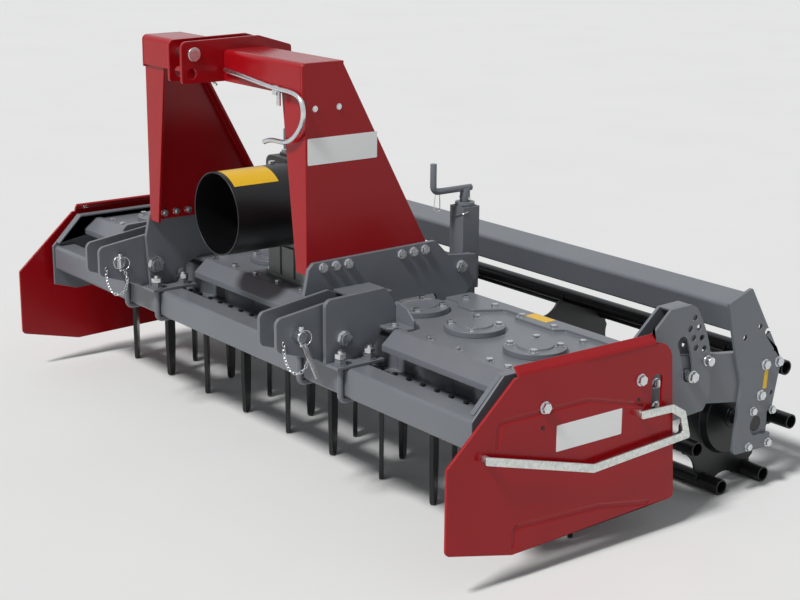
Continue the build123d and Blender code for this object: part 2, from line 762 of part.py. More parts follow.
# Bent bracket between a cheek and the cover: foot as (X, Y), web as (X, Z)
FOOT_THICKNESS = 6
FOOT_OUTLINE = ((509, -176), (536, -176), (548, -164), (548, -147), (578, -147), (578, -120), (509, -120))
FOOT_WEB = ((509, 462), (509, 520), (548, 512), (578, 486), (578, 462))
FOOT_WEB_Y = -120
TIE_Z = 540
TIE_THICKNESS = 8
TIE_REAR_Y = -130
CLEVIS_NEARS = (HITCH_X - CLEVIS_GAP / 2 - CLEVIS_THICKNESS, HITCH_X + CLEVIS_GAP / 2)
with BuildPart() as hitch_plates:
    for name, side in SIDES:
        start, depth = span(side, HITCH_PLATE_X, HITCH_PLATE_X + HITCH_PLATE_THICKNESS)
        with BuildSketch(SIDE.offset(start)):
            add(rounded(HITCH_OUTLINE))
        extrude(amount=depth)
hitch_plates.part.label = "hitch_plates"
export_step(hitch_plates.part, "parts/hitch_plates.step")

with BuildPart() as clevis_plates:
    for name, side in SIDES:
        for near in CLEVIS_NEARS:
            start, depth = span(side, near, near + CLEVIS_THICKNESS)
            with BuildSketch(SIDE.offset(start)):
                add(rounded(CLEVIS_OUTLINE))
                with Locations((LOWER_PIN_Y, LOWER_PIN_Z)):
                    Circle(LOWER_PIN_RADIUS + PIN_FIT, mode=Mode.SUBTRACT)
            extrude(amount=depth)
clevis_plates.part.label = "clevis_plates"
export_step(clevis_plates.part, "parts/clevis_plates.step")

with BuildPart() as hitch_cheeks:
    for name, side in SIDES:
        start, depth = span(side, CHEEK_X, CHEEK_X + HITCH_PLATE_THICKNESS)
        with BuildSketch(SIDE.offset(start)):
            add(rounded(CHEEK_OUTLINE))
        extrude(amount=depth)
    tie_start = HITCH_PLATE_X + HITCH_PLATE_THICKNESS
    with BuildSketch(PLAN.offset(TIE_Z)):
        with Locations(*[
            (side * (tie_start + CHEEK_X) / 2, (CLEVIS_REAR_Y + TIE_REAR_Y) / 2) for name, side in SIDES
        ]):
            Rectangle(CHEEK_X - tie_start, TIE_REAR_Y - CLEVIS_REAR_Y)
    extrude(amount=TIE_THICKNESS)
    with BuildSketch(PLAN.offset(COVER_TOP_Z)):
        for name, side in SIDES:
            Polygon(*[(side * x, y) for x, y in FOOT_OUTLINE], align=None)
    extrude(amount=FOOT_THICKNESS)
    with BuildSketch(FRONT.offset(-FOOT_WEB_Y)):
        for name, side in SIDES:
            Polygon(*[(side * x, z) for x, z in FOOT_WEB], align=None)
    extrude(amount=FOOT_THICKNESS)
hitch_cheeks.part.label = "hitch_cheeks"
export_step(hitch_cheeks.part, "parts/hitch_cheeks.step")

# Lower link pins with a head at the inner end
with BuildPart() as lower_pins:
    for name, side in SIDES:
        inner_face = HITCH_X - CLEVIS_GAP / 2 - CLEVIS_THICKNESS
        outer_face = HITCH_X + CLEVIS_GAP / 2 + CLEVIS_THICKNESS
        for near, far, radius in (
            (inner_face - PIN_HEAD, inner_face, LOWER_PIN_RADIUS + PIN_HEAD),
            (inner_face, outer_face + LOWER_PIN_END, LOWER_PIN_RADIUS),
        ):
            start, depth = span(side, near, far)
            with BuildSketch(SIDE.offset(start)):
                with Locations((LOWER_PIN_Y, LOWER_PIN_Z)):
                    Circle(radius)
            extrude(amount=depth)
lower_pins.part.label = "lower_pins"
export_step(lower_pins.part, "parts/lower_pins.step")

# Mast arms: a web with a tapering front flange and a narrow rear flange, as (Y, Z, corner radius)
MAST_CAP_Z = MAST_TOP_Z + MAST_WEB
MAST_NOSE_Y = MAST_FRONT_Y - MAST_WEB
BEAM_INNER_CORNER = BEAM_CORNER - MAST_WEB
MAST_WEB_OUTLINE = (
    (MAST_FRONT_Y, MAST_FOOT_Z, 0),
    (MAST_FRONT_Y, BEAM_LOW_Z - MAST_NOSE_DROP, 0),
    (MAST_NOSE_Y, BEAM_LOW_Z - MAST_NOSE_DROP, 0),
    (MAST_NOSE_Y, MAST_CAP_Z, BEAM_CORNER),
    (MAST_REAR_TOP[0], MAST_CAP_Z, 0),
    (MAST_REAR_TOP[0], MAST_TOP_Z, 0),
    (MAST_REAR_FOOT[0], MAST_REAR_FOOT[1], 0),
)
WEB_INNER_X = HITCH_PLATE_X - MAST_WEB
for name, side in SIDES:
    with BuildPart() as mast_arm:
        start, depth = span(side, WEB_INNER_X, HITCH_PLATE_X)
        with BuildSketch(SIDE.offset(start)):
            add(rounded(MAST_WEB_OUTLINE))
        extrude(amount=depth)
        with BuildSketch(FRONT.offset(-MAST_FRONT_Y)):
            Polygon(
                (side * WEB_INNER_X, MAST_FOOT_Z),
                (side * WEB_INNER_X, MAST_TOP_Z - BEAM_INNER_CORNER),
                (side * (HITCH_PLATE_X - MAST_FLANGE_TOP), MAST_TOP_Z - BEAM_INNER_CORNER),
                (side * (HITCH_PLATE_X - MAST_FLANGE_FOOT), MAST_FOOT_Z),
                align=None,
            )
        extrude(amount=-MAST_WEB)
        start, depth = span(side, HITCH_PLATE_X - MAST_REAR_FLANGE, WEB_INNER_X)
        with BuildSketch(SIDE.offset(start)):
            Polygon(
                MAST_REAR_TOP,
                MAST_REAR_FOOT,
                (MAST_REAR_FOOT[0] - MAST_REAR_SLANT, MAST_REAR_FOOT[1]),
                (MAST_REAR_TOP[0] - MAST_REAR_SLANT, MAST_REAR_TOP[1]),
                align=None,
            )
        extrude(amount=depth)
    mast_arm.part.label = f"mast_arm_{name}"
    export_step(mast_arm.part, f"parts/mast_arm_{name}.step")

# Cross beam of the mast, a folded channel in three lengths round the ears
EAR_INNER_X = TOP_PLATE_GAP / 2
EAR_OUTER_X = EAR_INNER_X + TOP_PLATE_THICKNESS
BEAM_SPANS = (
    (-WEB_INNER_X, -EAR_OUTER_X),
    (-EAR_INNER_X, EAR_INNER_X),
    (EAR_OUTER_X, WEB_INNER_X),
)
BEAM_OUTLINE = (
    (MAST_NOSE_Y, BEAM_LOW_Z, 0),
    (MAST_NOSE_Y, MAST_CAP_Z, BEAM_CORNER),
    (MAST_REAR_TOP[0], MAST_CAP_Z, 0),
    (MAST_REAR_TOP[0], MAST_TOP_Z, 0),
    (MAST_FRONT_Y, MAST_TOP_Z, BEAM_INNER_CORNER),
    (MAST_FRONT_Y, BEAM_LOW_Z, 0),
)
with BuildPart() as mast_beam:
    for start, end in BEAM_SPANS:
        with BuildSketch(SIDE.offset(start)):
            add(rounded(BEAM_OUTLINE))
        extrude(amount=end - start)
    for start, end in BEAM_LIP_SPANS:
        with BuildSketch(SIDE.offset(start)):
            Polygon(
                (MAST_FRONT_Y, BEAM_LOW_Z),
                (MAST_FRONT_Y, BEAM_LOW_Z + MAST_WEB),
                (BEAM_LIP_Y, BEAM_LOW_Z + MAST_WEB),
                (BEAM_LIP_Y, BEAM_LOW_Z),
                align=None,
            )
        extrude(amount=end - start)
mast_beam.part.label = "mast_beam"
export_step(mast_beam.part, "parts/mast_beam.step")

# Two ears of the top link, with the pin's hole and a spare hole below it
with BuildPart() as top_link_ears:
    for name, side in SIDES:
        start, depth = span(side, EAR_INNER_X, EAR_OUTER_X)
        with BuildSketch(SIDE.offset(start)):
            add(rounded([(y, MAST_TOP_Z + rise, radius) for y, rise, radius in EAR_OUTLINE]))
            with Locations((TOP_PIN_Y, TOP_PIN_Z)):
                Circle(TOP_PIN_RADIUS + PIN_FIT, mode=Mode.SUBTRACT)
            with Locations((SPARE_HOLE_Y, SPARE_HOLE_Z)):
                Circle(SPARE_HOLE_RADIUS, mode=Mode.SUBTRACT)
        extrude(amount=depth)
top_link_ears.part.label = "top_link_ears"
export_step(top_link_ears.part, "parts/top_link_ears.step")

# Top link pin
with BuildPart() as top_link_pin:
    for near, far, radius in (
        (-EAR_OUTER_X - TOP_PIN_END, EAR_OUTER_X, TOP_PIN_RADIUS),
        (EAR_OUTER_X, EAR_OUTER_X + PIN_HEAD, TOP_PIN_RADIUS + PIN_HEAD),
    ):
        with BuildSketch(SIDE.offset(near)):
            with Locations((TOP_PIN_Y, TOP_PIN_Z)):
                Circle(radius)
        extrude(amount=far - near)
top_link_pin.part.label = "top_link_pin"
export_step(top_link_pin.part, "parts/top_link_pin.step")

# Bent rod that holds the drive shaft when it is unhitched
with BuildPart() as shaft_hook:
    with BuildLine(FRONT.offset(-HOOK_Y)):
        hook_path = Spline(*[(x, MAST_TOP_Z - drop) for x, drop in HOOK_POINTS])
    with BuildSketch(Plane(origin=hook_path @ 0, z_dir=hook_path % 0)):
        Circle(HOOK_RADIUS)
    sweep(path=hook_path)
shaft_hook.part.label = "shaft_hook"
export_step(shaft_hook.part, "parts/shaft_hook.step")

# Side plates with a leaning top edge
for name, side in SIDES:
    with BuildPart() as side_plate:
        start, depth = span(side, SIDE_PLATE_X, SIDE_PLATE_X + SIDE_PLATE_THICKNESS)
        with BuildSketch(SIDE.offset(start)):
            add(rounded(SIDE_OUTLINE))
            with Locations(SIDE_SLOT_CENTRE):
                SlotOverall(SIDE_SLOT_LENGTH, SIDE_SLOT_WIDTH, rotation=90, mode=Mode.SUBTRACT)
        extrude(amount=depth)
        with BuildSketch(FRONT.offset(-SIDE_LEAN_SPAN[0])):
            add(rounded([(side * (SIDE_PLATE_X + x), z, radius) for x, z, radius in SIDE_LEAN]))
        extrude(amount=SIDE_LEAN_SPAN[0] - SIDE_LEAN_SPAN[1])
        with BuildSketch(SIDE.offset(side * (SIDE_PLATE_X + SIDE_PLATE_THICKNESS))):
            for bead in BEADS:
                with BuildLine(mode=Mode.PRIVATE) as bead_line:
                    FilletPolyline(*bead, radius=BEAD_RADIUS)
                trace(bead_line.line, line_width=BEAD_WIDTH)
        extrude(amount=BEAD_DEPTH, dir=(-side, 0, 0), taper=BEAD_TAPER_ANGLE, mode=Mode.SUBTRACT)
    side_plate.part.label = f"side_plate_{name}"
    export_step(side_plate.part, f"parts/side_plate_{name}.step")

# Spacers between the end plates and the side plates
with BuildPart() as side_spacers:
    for name, side in SIDES:
        start, depth = span(side, END_PLATE_X + END_PLATE_THICKNESS, SIDE_PLATE_X)
        with BuildSketch(SIDE.offset(start)):
            with Locations(*SPACER_PLACES):
                Circle(SPACER_RADIUS)
        extrude(amount=depth)
side_spacers.part.label = "side_spacers"
export_step(side_spacers.part, "parts/side_spacers.step")

# Flat guard bars that stand off the side plates
GUARD_BAR_NEAR = SIDE_PLATE_X + SIDE_PLATE_THICKNESS + GUARD_BAR_GAP
with BuildPart() as guard_bars:
    for name, side in SIDES:
        start, depth = span(side, GUARD_BAR_NEAR, GUARD_BAR_NEAR + GUARD_BAR_THICKNESS)
        with BuildSketch(SIDE.offset(start)):
            Polygon(*GUARD_BAR_OUTLINE, align=None)
        extrude(amount=depth)
        start, depth = span(side, GUARD_BAR_NEAR - GUARD_BAR_GAP, GUARD_BAR_NEAR)
        with BuildSketch(SIDE.offset(start)):
            with Locations(*GUARD_BAR_BOLTS):
                Circle(GUARD_BAR_WIDTH / 2)
        extrude(amount=depth)
guard_bars.part.label = "guard_bars"
export_step(guard_bars.part, "parts/guard_bars.step")

# Upright tubes of the levelling bar's cranks, with their brackets
with BuildPart() as crank_tubes:
    for name, side in SIDES:
        with BuildSketch(PLAN.offset(CRANK_TUBE_LOW_Z)):
            with Locations((side * CRANK_X, CRANK_Y)):
                Rectangle(CRANK_TUBE, CRANK_TUBE)
                Rectangle(LEG_SIZE + 2 * LEG_FIT, LEG_SIZE + 2 * LEG_FIT, mode=Mode.SUBTRACT)
        extrude(amount=CRANK_TUBE_TOP_Z - CRANK_TUBE_LOW_Z)
        start, depth = span(side, CRANK_X + CRANK_TUBE / 2, HITCH_PLATE_X)
        with BuildSketch(SIDE.offset(start)):
            with Locations((CRANK_Y - CRANK_TUBE / 2 + BLOCK_DEPTH / 2, BLOCK_Z)):
                Rectangle(BLOCK_DEPTH, BLOCK_HEIGHT)
        extrude(amount=depth)
crank_tubes.part.label = "crank_tubes"
export_step(crank_tubes.part, "parts/crank_tubes.step")

# Cranks on top of the tubes
CRANK_CAP_TOP_Z = CRANK_TUBE_TOP_Z + CRANK_CAP_HEIGHT
with BuildPart() as crank_handles:
    for name, side in SIDES:
        for y, low, high, radius in (
            (CRANK_Y, CRANK_TUBE_TOP_Z, CRANK_CAP_TOP_Z, CRANK_CAP_RADIUS),
            (CRANK_Y, CRANK_CAP_TOP_Z, CRANK_ARM_Z, CRANK_ROD_RADIUS),
            (CRANK_Y, CRANK_ARM_Z - CRANK_BOSS_HALF, CRANK_ARM_Z + CRANK_BOSS_HALF, CRANK_BOSS_RADIUS),
            (CRANK_GRIP_Y, CRANK_ARM_Z, CRANK_ARM_Z + CRANK_GRIP_LENGTH, CRANK_ROD_RADIUS),
        ):
            with BuildSketch(PLAN.offset(low)):
                with Locations((side * CRANK_X, y)):
                    Circle(radius)
            extrude(amount=high - low)
        with BuildSketch(FRONT.offset(-CRANK_Y - CRANK_ARM_END)):
            with Locations((side * CRANK_X, CRANK_ARM_Z)):
                Rectangle(CRANK_ARM_WIDTH, CRANK_ARM_WIDTH)
        extrude(amount=CRANK_Y - CRANK_GRIP_Y + 2 * CRANK_ARM_END)
crank_handles.part.label = "crank_handles"
export_step(crank_handles.part, "parts/crank_handles.step")

# Levelling bar with the two legs that slide in the crank tubes
LEVEL_TOP_Z = LEVEL_LOW_Z + LEVEL_HEIGHT
with BuildPart() as levelling_bar:
    with BuildSketch(SIDE.offset(-LEVEL_HALF_LENGTH)):
        Polygon(
            (CRANK_Y - LEVEL_THICKNESS, LEVEL_LOW_Z),
            (CRANK_Y, LEVEL_LOW_Z),
            (CRANK_Y, LEVEL_TOP_Z - LEVEL_THICKNESS),
            (CRANK_Y + LEVEL_LEDGE, LEVEL_TOP_Z - LEVEL_THICKNESS),
            (CRANK_Y + LEVEL_LEDGE, LEVEL_TOP_Z),
            (CRANK_Y - LEVEL_THICKNESS, LEVEL_TOP_Z),
            align=None,
        )
    extrude(amount=2 * LEVEL_HALF_LENGTH)
    with BuildSketch(PLAN.offset(LEVEL_TOP_Z)):
        with Locations((CRANK_X, CRANK_Y), (-CRANK_X, CRANK_Y)):
            Rectangle(LEG_SIZE, LEG_SIZE)
    extrude(amount=LEG_TOP_Z - LEVEL_TOP_Z)
levelling_bar.part.label = "levelling_bar"
export_step(levelling_bar.part, "parts/levelling_bar.step")

# Roller arms, each swinging between two walls
SLOT_BOLT = about_pivot(SLOT_RADIUS, SLOT_LOW_ANGLE)
with BuildPart() as roller_arms:
    for name, side in SIDES:
        start, depth = span(side, ARM_X, ARM_OUTER_X)
        with BuildSketch(SIDE.offset(start)):
            Polygon(*ARM_OUTLINE, align=None)
            with Locations((PIVOT_Y, PIVOT_Z)):
                Circle(ARM_EYE_RADIUS)
                Circle(PIVOT_RADIUS + PIN_FIT, mode=Mode.SUBTRACT)
            with Locations(SLOT_BOLT):
                Circle(SLOT_BOLT_RADIUS, mode=Mode.SUBTRACT)
        extrude(amount=depth)
roller_arms.part.label = "roller_arms"
export_step(roller_arms.part, "parts/roller_arms.step")

# End plates of the roller frame with their bearing blocks
with BuildPart() as roller_end_plates:
    for name, side in SIDES:
        start, depth = span(side, ARM_OUTER_X, ARM_OUTER_X + END_LUG_THICKNESS)
        with BuildSketch(SIDE.offset(start)):
            add(rounded(LUG_OUTLINE))
            with Locations((ROLLER_Y, ROLLER_Z)):
                Circle(NOTCH_RADIUS, mode=Mode.SUBTRACT)
                with Locations((NOTCH_DEPTH / 2, 0)):
                    Rectangle(NOTCH_DEPTH, 2 * NOTCH_RADIUS, mode=Mode.SUBTRACT)
            for hole_y, hole_z, hole_radius in LUG_HOLES:
                with Locations((hole_y, hole_z)):
                    Circle(hole_radius, mode=Mode.SUBTRACT)
        extrude(amount=depth)
        start, depth = span(side, BEARING_X, ARM_OUTER_X)
        with BuildSketch(SIDE.offset(start)):
            with Locations((ROLLER_Y, ROLLER_Z)):
                Rectangle(2 * BEARING_HALF, 2 * BEARING_HALF)
                Circle(STUB_RADIUS + PIN_FIT, mode=Mode.SUBTRACT)
        extrude(amount=depth)
roller_end_plates.part.label = "roller_end_plates"
export_step(roller_end_plates.part, "parts/roller_end_plates.step")

# Pivot pins of the roller arms
with BuildPart() as pivot_pins:
    for name, side in SIDES:
        start, depth = span(side, WALL_X, END_PLATE_X + END_PLATE_THICKNESS + PIVOT_STAND)
        with BuildSketch(SIDE.offset(start)):
            with Locations((PIVOT_Y, PIVOT_Z)):
                Circle(PIVOT_RADIUS)
        extrude(amount=depth)
pivot_pins.part.label = "pivot_pins"
export_step(pivot_pins.part, "parts/pivot_pins.step")

# Bolts of the arms that run in the curved slots
with BuildPart() as slot_bolts:
    for name, side in SIDES:
        start, depth = span(side, WALL_X - PIVOT_STAND, END_PLATE_X + END_PLATE_THICKNESS + SLOT_BOLT_STAND)
        with BuildSketch(SIDE.offset(start)):
            with Locations(SLOT_BOLT):
                Circle(SLOT_BOLT_RADIUS)
        extrude(amount=depth)
slot_bolts.part.label = "slot_bolts"
export_step(slot_bolts.part, "parts/slot_bolts.step")

# Rear bar between the roller's end plates
REAR_BAR_PLANE = Plane(
    origin=(-ARM_OUTER_X, ROW_Y + REAR_BAR_Y, REAR_BAR_Z),
    x_dir=(0, cos(radians(REAR_BAR_TILT_ANGLE)), sin(radians(REAR_BAR_TILT_ANGLE))),
    z_dir=(1, 0, 0),
)
REAR_BAR_INSIDE = REAR_BAR_SIZE - 2 * REAR_BAR_WALL
with BuildPart() as rear_bar:
    with BuildSketch(REAR_BAR_PLANE):
        RectangleRounded(REAR_BAR_SIZE, REAR_BAR_SIZE, BAR_CORNER)
        Rectangle(REAR_BAR_INSIDE, REAR_BAR_INSIDE, mode=Mode.SUBTRACT)
    extrude(amount=2 * ARM_OUTER_X)
rear_bar.part.label = "rear_bar"
export_step(rear_bar.part, "parts/rear_bar.step")

# Cage roller: scalloped discs, tubes and an axle, turning as one
TUBE_ANGLES = [-90 + (i + 0.5) * 360 / TUBE_COUNT for i in range(TUBE_COUNT)]
SCALLOP_ANGLES = [-90 + i * 360 / TUBE_COUNT for i in range(TUBE_COUNT)]
DISC_XS = [-DISC_X + i * 2 * DISC_X / (DISC_COUNT - 1) for i in range(DISC_COUNT)]


def on_roller(radius, angle):
    """Point at a radius and an angle round the roller's axis."""
    turn = radians(angle)
    return (ROLLER_Y + radius * cos(turn), ROLLER_Z + radius * sin(turn))


with BuildPart() as roller_tubes:
    with BuildSketch(SIDE.offset(-TUBE_HALF_LENGTH)):
        with Locations(*[on_roller(TUBE_CENTRES, angle) for angle in TUBE_ANGLES]):
            Circle(TUBE_RADIUS)
            Circle(TUBE_RADIUS - TUBE_WALL, mode=Mode.SUBTRACT)
    extrude(amount=2 * TUBE_HALF_LENGTH)
roller_tubes.part.label = "roller_tubes"
export_step(roller_tubes.part, "parts/roller_tubes.step")

with BuildPart() as roller_discs:
    for disc_x in DISC_XS:
        with BuildSketch(SIDE.offset(disc_x - DISC_THICKNESS / 2)):
            with Locations((ROLLER_Y, ROLLER_Z)):
                Circle(TUBE_CENTRES - LOBE_INSET)
            with Locations(*[on_roller(TUBE_CENTRES - LOBE_INSET, angle) for angle in TUBE_ANGLES]):
                Circle(TUBE_RADIUS + LOBE_RIM)
            with Locations(*[on_roller(SCALLOP_CENTRES, angle) for angle in SCALLOP_ANGLES]):
                Circle(SCALLOP_RADIUS, mode=Mode.SUBTRACT)
            with Locations(*[on_roller(TUBE_CENTRES, angle) for angle in TUBE_ANGLES]):
                Circle(TUBE_RADIUS, mode=Mode.SUBTRACT)
            with Locations((ROLLER_Y, ROLLER_Z)):
                Circle(AXLE_RADIUS, mode=Mode.SUBTRACT)
        extrude(amount=DISC_THICKNESS)
    # The outer discs are dished
    for name, side in SIDES:
        with BuildSketch(SIDE.offset(side * (DISC_X + DISC_THICKNESS / 2))):
            with Locations((ROLLER_Y, ROLLER_Z)):
                Circle(DISH_RADIUS)
        extrude(amount=DISH_DEPTH, dir=(side, 0, 0), taper=DISH_TAPER_ANGLE)
        with BuildSketch(SIDE.offset(side * (DISC_X + DISC_THICKNESS / 2))):
            with Locations((ROLLER_Y, ROLLER_Z)):
                Circle(AXLE_RADIUS)
        extrude(amount=side * DISH_DEPTH, mode=Mode.SUBTRACT)
roller_discs.part.label = "roller_discs"
export_step(roller_discs.part, "parts/roller_discs.step")

with BuildPart() as roller_axle:
    for half_length, radius in ((DISC_X + AXLE_END, AXLE_RADIUS), (STUB_HALF_LENGTH, STUB_RADIUS)):
        with BuildSketch(SIDE.offset(-half_length)):
            with Locations((ROLLER_Y, ROLLER_Z)):
                Circle(radius)
        extrude(amount=2 * half_length)
roller_axle.part.label = "roller_axle"
export_step(roller_axle.part, "parts/roller_axle.step")
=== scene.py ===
"""Looks of a power harrow: finishes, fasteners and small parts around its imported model.

Lengths are metres, +X runs along the working width, -Y points to the tractor and +Z is up.
Places are written with their Y counted from the row of rotors.
"""

from __future__ import annotations

import json
import logging
import math
from dataclasses import dataclass
from enum import Enum

import bmesh
import bpy
from mathutils import Matrix, Vector

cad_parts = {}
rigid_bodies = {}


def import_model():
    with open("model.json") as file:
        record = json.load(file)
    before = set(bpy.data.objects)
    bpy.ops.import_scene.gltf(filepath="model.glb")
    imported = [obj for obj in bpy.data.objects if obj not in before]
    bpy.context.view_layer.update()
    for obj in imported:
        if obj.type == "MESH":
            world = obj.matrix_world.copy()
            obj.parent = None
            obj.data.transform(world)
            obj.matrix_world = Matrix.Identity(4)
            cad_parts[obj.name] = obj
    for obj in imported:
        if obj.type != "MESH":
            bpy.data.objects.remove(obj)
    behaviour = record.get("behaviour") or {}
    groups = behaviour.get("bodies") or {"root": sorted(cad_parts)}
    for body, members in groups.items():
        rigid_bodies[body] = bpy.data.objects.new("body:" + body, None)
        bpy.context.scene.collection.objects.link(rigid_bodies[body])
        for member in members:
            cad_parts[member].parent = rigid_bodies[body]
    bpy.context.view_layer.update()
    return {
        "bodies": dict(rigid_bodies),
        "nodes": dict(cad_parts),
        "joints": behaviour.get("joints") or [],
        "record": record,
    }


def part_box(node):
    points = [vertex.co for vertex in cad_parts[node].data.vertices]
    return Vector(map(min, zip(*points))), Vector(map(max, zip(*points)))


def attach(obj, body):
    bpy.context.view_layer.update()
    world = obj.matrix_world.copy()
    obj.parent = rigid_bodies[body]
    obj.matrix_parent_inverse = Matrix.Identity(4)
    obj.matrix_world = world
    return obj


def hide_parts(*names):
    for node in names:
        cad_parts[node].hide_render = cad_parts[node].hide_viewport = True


log = logging.getLogger("power_harrow")

Point = tuple[float, float, float]
Flat = tuple[float, float]

SIDES = (("left", 1), ("right", -1))
SHARP_ANGLE = math.radians(34)
BEVEL_ANGLE = math.radians(35)
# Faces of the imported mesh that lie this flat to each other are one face
FLAT_ANGLE = math.radians(0.3)
WELD_DISTANCE = 0.00002
# Sets how far each bolt head is turned
TURN_SEED = 7
STICKER_DEPTH = 0.0004


def linear(hex_colour: str) -> tuple[float, float, float, float]:
    """Turn an sRGB hex colour into the linear colour that shaders use.

    Args:
        hex_colour: Six hex digits after a hash sign.

    Returns:
        Red, green, blue and an alpha of one.
    """
    levels = [int(hex_colour[i : i + 2], 16) / 255 for i in (1, 3, 5)]
    parts = [v / 12.92 if v <= 0.04045 else ((v + 0.055) / 1.055) ** 2.4 for v in levels]
    return (parts[0], parts[1], parts[2], 1.0)


def add_node(
    tree: bpy.types.NodeTree,
    kind: str,
    inputs: dict[str | int, object] | None = None,
    **settings: object,
) -> bpy.types.Node:
    """Add a node with its settings, and fill or link its inputs.

    Args:
        tree: Tree that gets the node.
        kind: Blender's name of the node type.
        inputs: Input name or number, and the value or output socket that goes in.
        settings: Properties of the node itself.

    Returns:
        The new node.
    """
    node = tree.nodes.new(kind)
    for name, value in settings.items():
        setattr(node, name, value)
    for key, value in (inputs or {}).items():
        socket = node.inputs[key]
        if isinstance(value, bpy.types.NodeSocket):
            tree.links.new(value, socket)
        else:
            socket.default_value = value
    return node


def new_material(name: str) -> tuple[bpy.types.Material, bpy.types.NodeTree, bpy.types.NodeSocket]:
    """Start an empty material.

    Args:
        name: The material's name.

    Returns:
        The material, its tree and the output socket of its object coordinates.
    """
    material = bpy.data.materials.new(name)
    material.use_nodes = True
    tree = material.node_tree
    tree.nodes.clear()
    place = add_node(tree, "ShaderNodeTexCoord").outputs["Object"]
    return material, tree, place


def finish_material(tree: bpy.types.NodeTree, inputs: dict[str | int, object]) -> None:
    """End a material with its shader and its output.

    Args:
        tree: The material's tree.
        inputs: Values and sockets of the shader.
    """
    shader = add_node(tree, "ShaderNodeBsdfPrincipled", inputs)
    add_node(tree, "ShaderNodeOutputMaterial", {"Surface": shader.outputs["BSDF"]})


def calculate(
    tree: bpy.types.NodeTree, operation: str, first: object, second: object
) -> bpy.types.NodeSocket:
    """Return the output of a math node on two values."""
    return add_node(tree, "ShaderNodeMath", {0: first, 1: second}, operation=operation).outputs["Value"]


def clouds(tree: bpy.types.NodeTree, place: object, width_mm: float, detail: float) -> bpy.types.NodeSocket:
    """Return a cloudy pattern whose clouds have a real width in millimetres."""
    inputs = {"Vector": place, "Scale": 1000 / width_mm, "Detail": detail}
    return add_node(tree, "ShaderNodeTexNoise", inputs).outputs["Fac"]


def blend(tree: bpy.types.NodeTree, factor: object, first: object, second: object) -> bpy.types.NodeSocket:
    """Mix two colours, each a hex colour or a socket.

    Args:
        tree: The material's tree.
        factor: How much of the second colour shows.
        first: The first colour.
        second: The second colour.

    Returns:
        The mixed colour.
    """
    colours = [linear(colour) if isinstance(colour, str) else colour for colour in (first, second)]
    inputs = {"Factor": factor, "A": colours[0], "B": colours[1]}
    return add_node(tree, "ShaderNodeMix", inputs, data_type="RGBA").outputs["Result"]


def spread(tree: bpy.types.NodeTree, value: object, roughness: float, share: Flat) -> bpy.types.NodeSocket:
    """Return a roughness that follows a pattern between two shares of itself."""
    inputs = {"Value": value, "To Min": roughness * share[0], "To Max": roughness * share[1]}
    return add_node(tree, "ShaderNodeMapRange", inputs).outputs["Result"]


def relief(tree: bpy.types.NodeTree, height: object, depth: float) -> bpy.types.NodeSocket:
    """Return the normal of a surface with a pattern of bumps, their depth in metres."""
    return add_node(tree, "ShaderNodeBump", {"Height": height, "Distance": depth}).outputs["Normal"]


def shade_smooth(mesh: bpy.types.Mesh) -> None:
    """Shade a mesh smooth between its sharp edges."""
    for face in mesh.polygons:
        face.use_smooth = True
    mesh.set_sharp_from_angle(angle=SHARP_ANGLE)


class Finish(Enum):
    """Finishes of the pieces; each value is the record's slot and a word for the variant."""

    RED = ("red_enamel", "sheet")
    GREY = ("grey_enamel", "sheet")
    CAST = ("grey_enamel", "casting")
    BLACK = ("black_enamel", "sheet")
    ZINC = ("zinc_steel", "plated")
    GALVANISED = ("galvanised_steel", "dipped")
    PLASTIC = ("black_plastic", "moulded")
    STEEL = ("bare_steel", "turned")
    WHITE_VINYL = ("", "white")
    YELLOW_VINYL = ("", "yellow")

    @property
    def slot(self) -> str:
        """Return the record's slot, empty where the finish has none."""
        return self.value[0]


@dataclass(frozen=True)
class SprayedEnamel:
    """Two-pack enamel sprayed on steel: an even gloss over faint orange peel."""

    name: str
    colour: str
    shade: str
    roughness: float
    specular: float = 0.5
    peel_mm: float = 4.0
    peel_height: float = 0.00005
    patch_mm: float = 260.0
    gloss_share: Flat = (0.85, 1.2)
    dust_colour: str = "#B7B2A8"
    dust: float = 0.05
    dust_mm: float = 71.43

    def material(self) -> bpy.types.Material:
        """Build the enamel, with its peel, its slow change of shade and a film of dust on top.

        Returns:
            The new material.
        """
        material, tree, place = new_material(self.name)
        # Thicker and thinner paint, as wide as a spray pass
        paint = blend(tree, clouds(tree, place, self.patch_mm, 2.0), self.colour, self.shade)
        # Dust settles on faces that look up, in loose patches
        normal = add_node(tree, "ShaderNodeNewGeometry").outputs["Normal"]
        height = add_node(tree, "ShaderNodeSeparateXYZ", {"Vector": normal}).outputs["Z"]
        upward = add_node(tree, "ShaderNodeMapRange", {"Value": height, "From Min": 0.5, "From Max": 1.0})
        patches = clouds(tree, place, self.dust_mm, 5.0)
        settled = calculate(tree, "MULTIPLY", upward.outputs["Result"], patches)
        film = calculate(tree, "MULTIPLY", settled, self.dust * 2)
        # Orange peel, a few millimetres from crest to crest
        peel = clouds(tree, place, self.peel_mm, 1.0)
        finish_material(
            tree,
            {
                "Base Color": blend(tree, film, paint, self.dust_colour),
                "Roughness": spread(tree, patches, self.roughness, self.gloss_share),
                "Normal": relief(tree, peel, self.peel_height),
                "Specular IOR Level": self.specular,
            },
        )
        return material


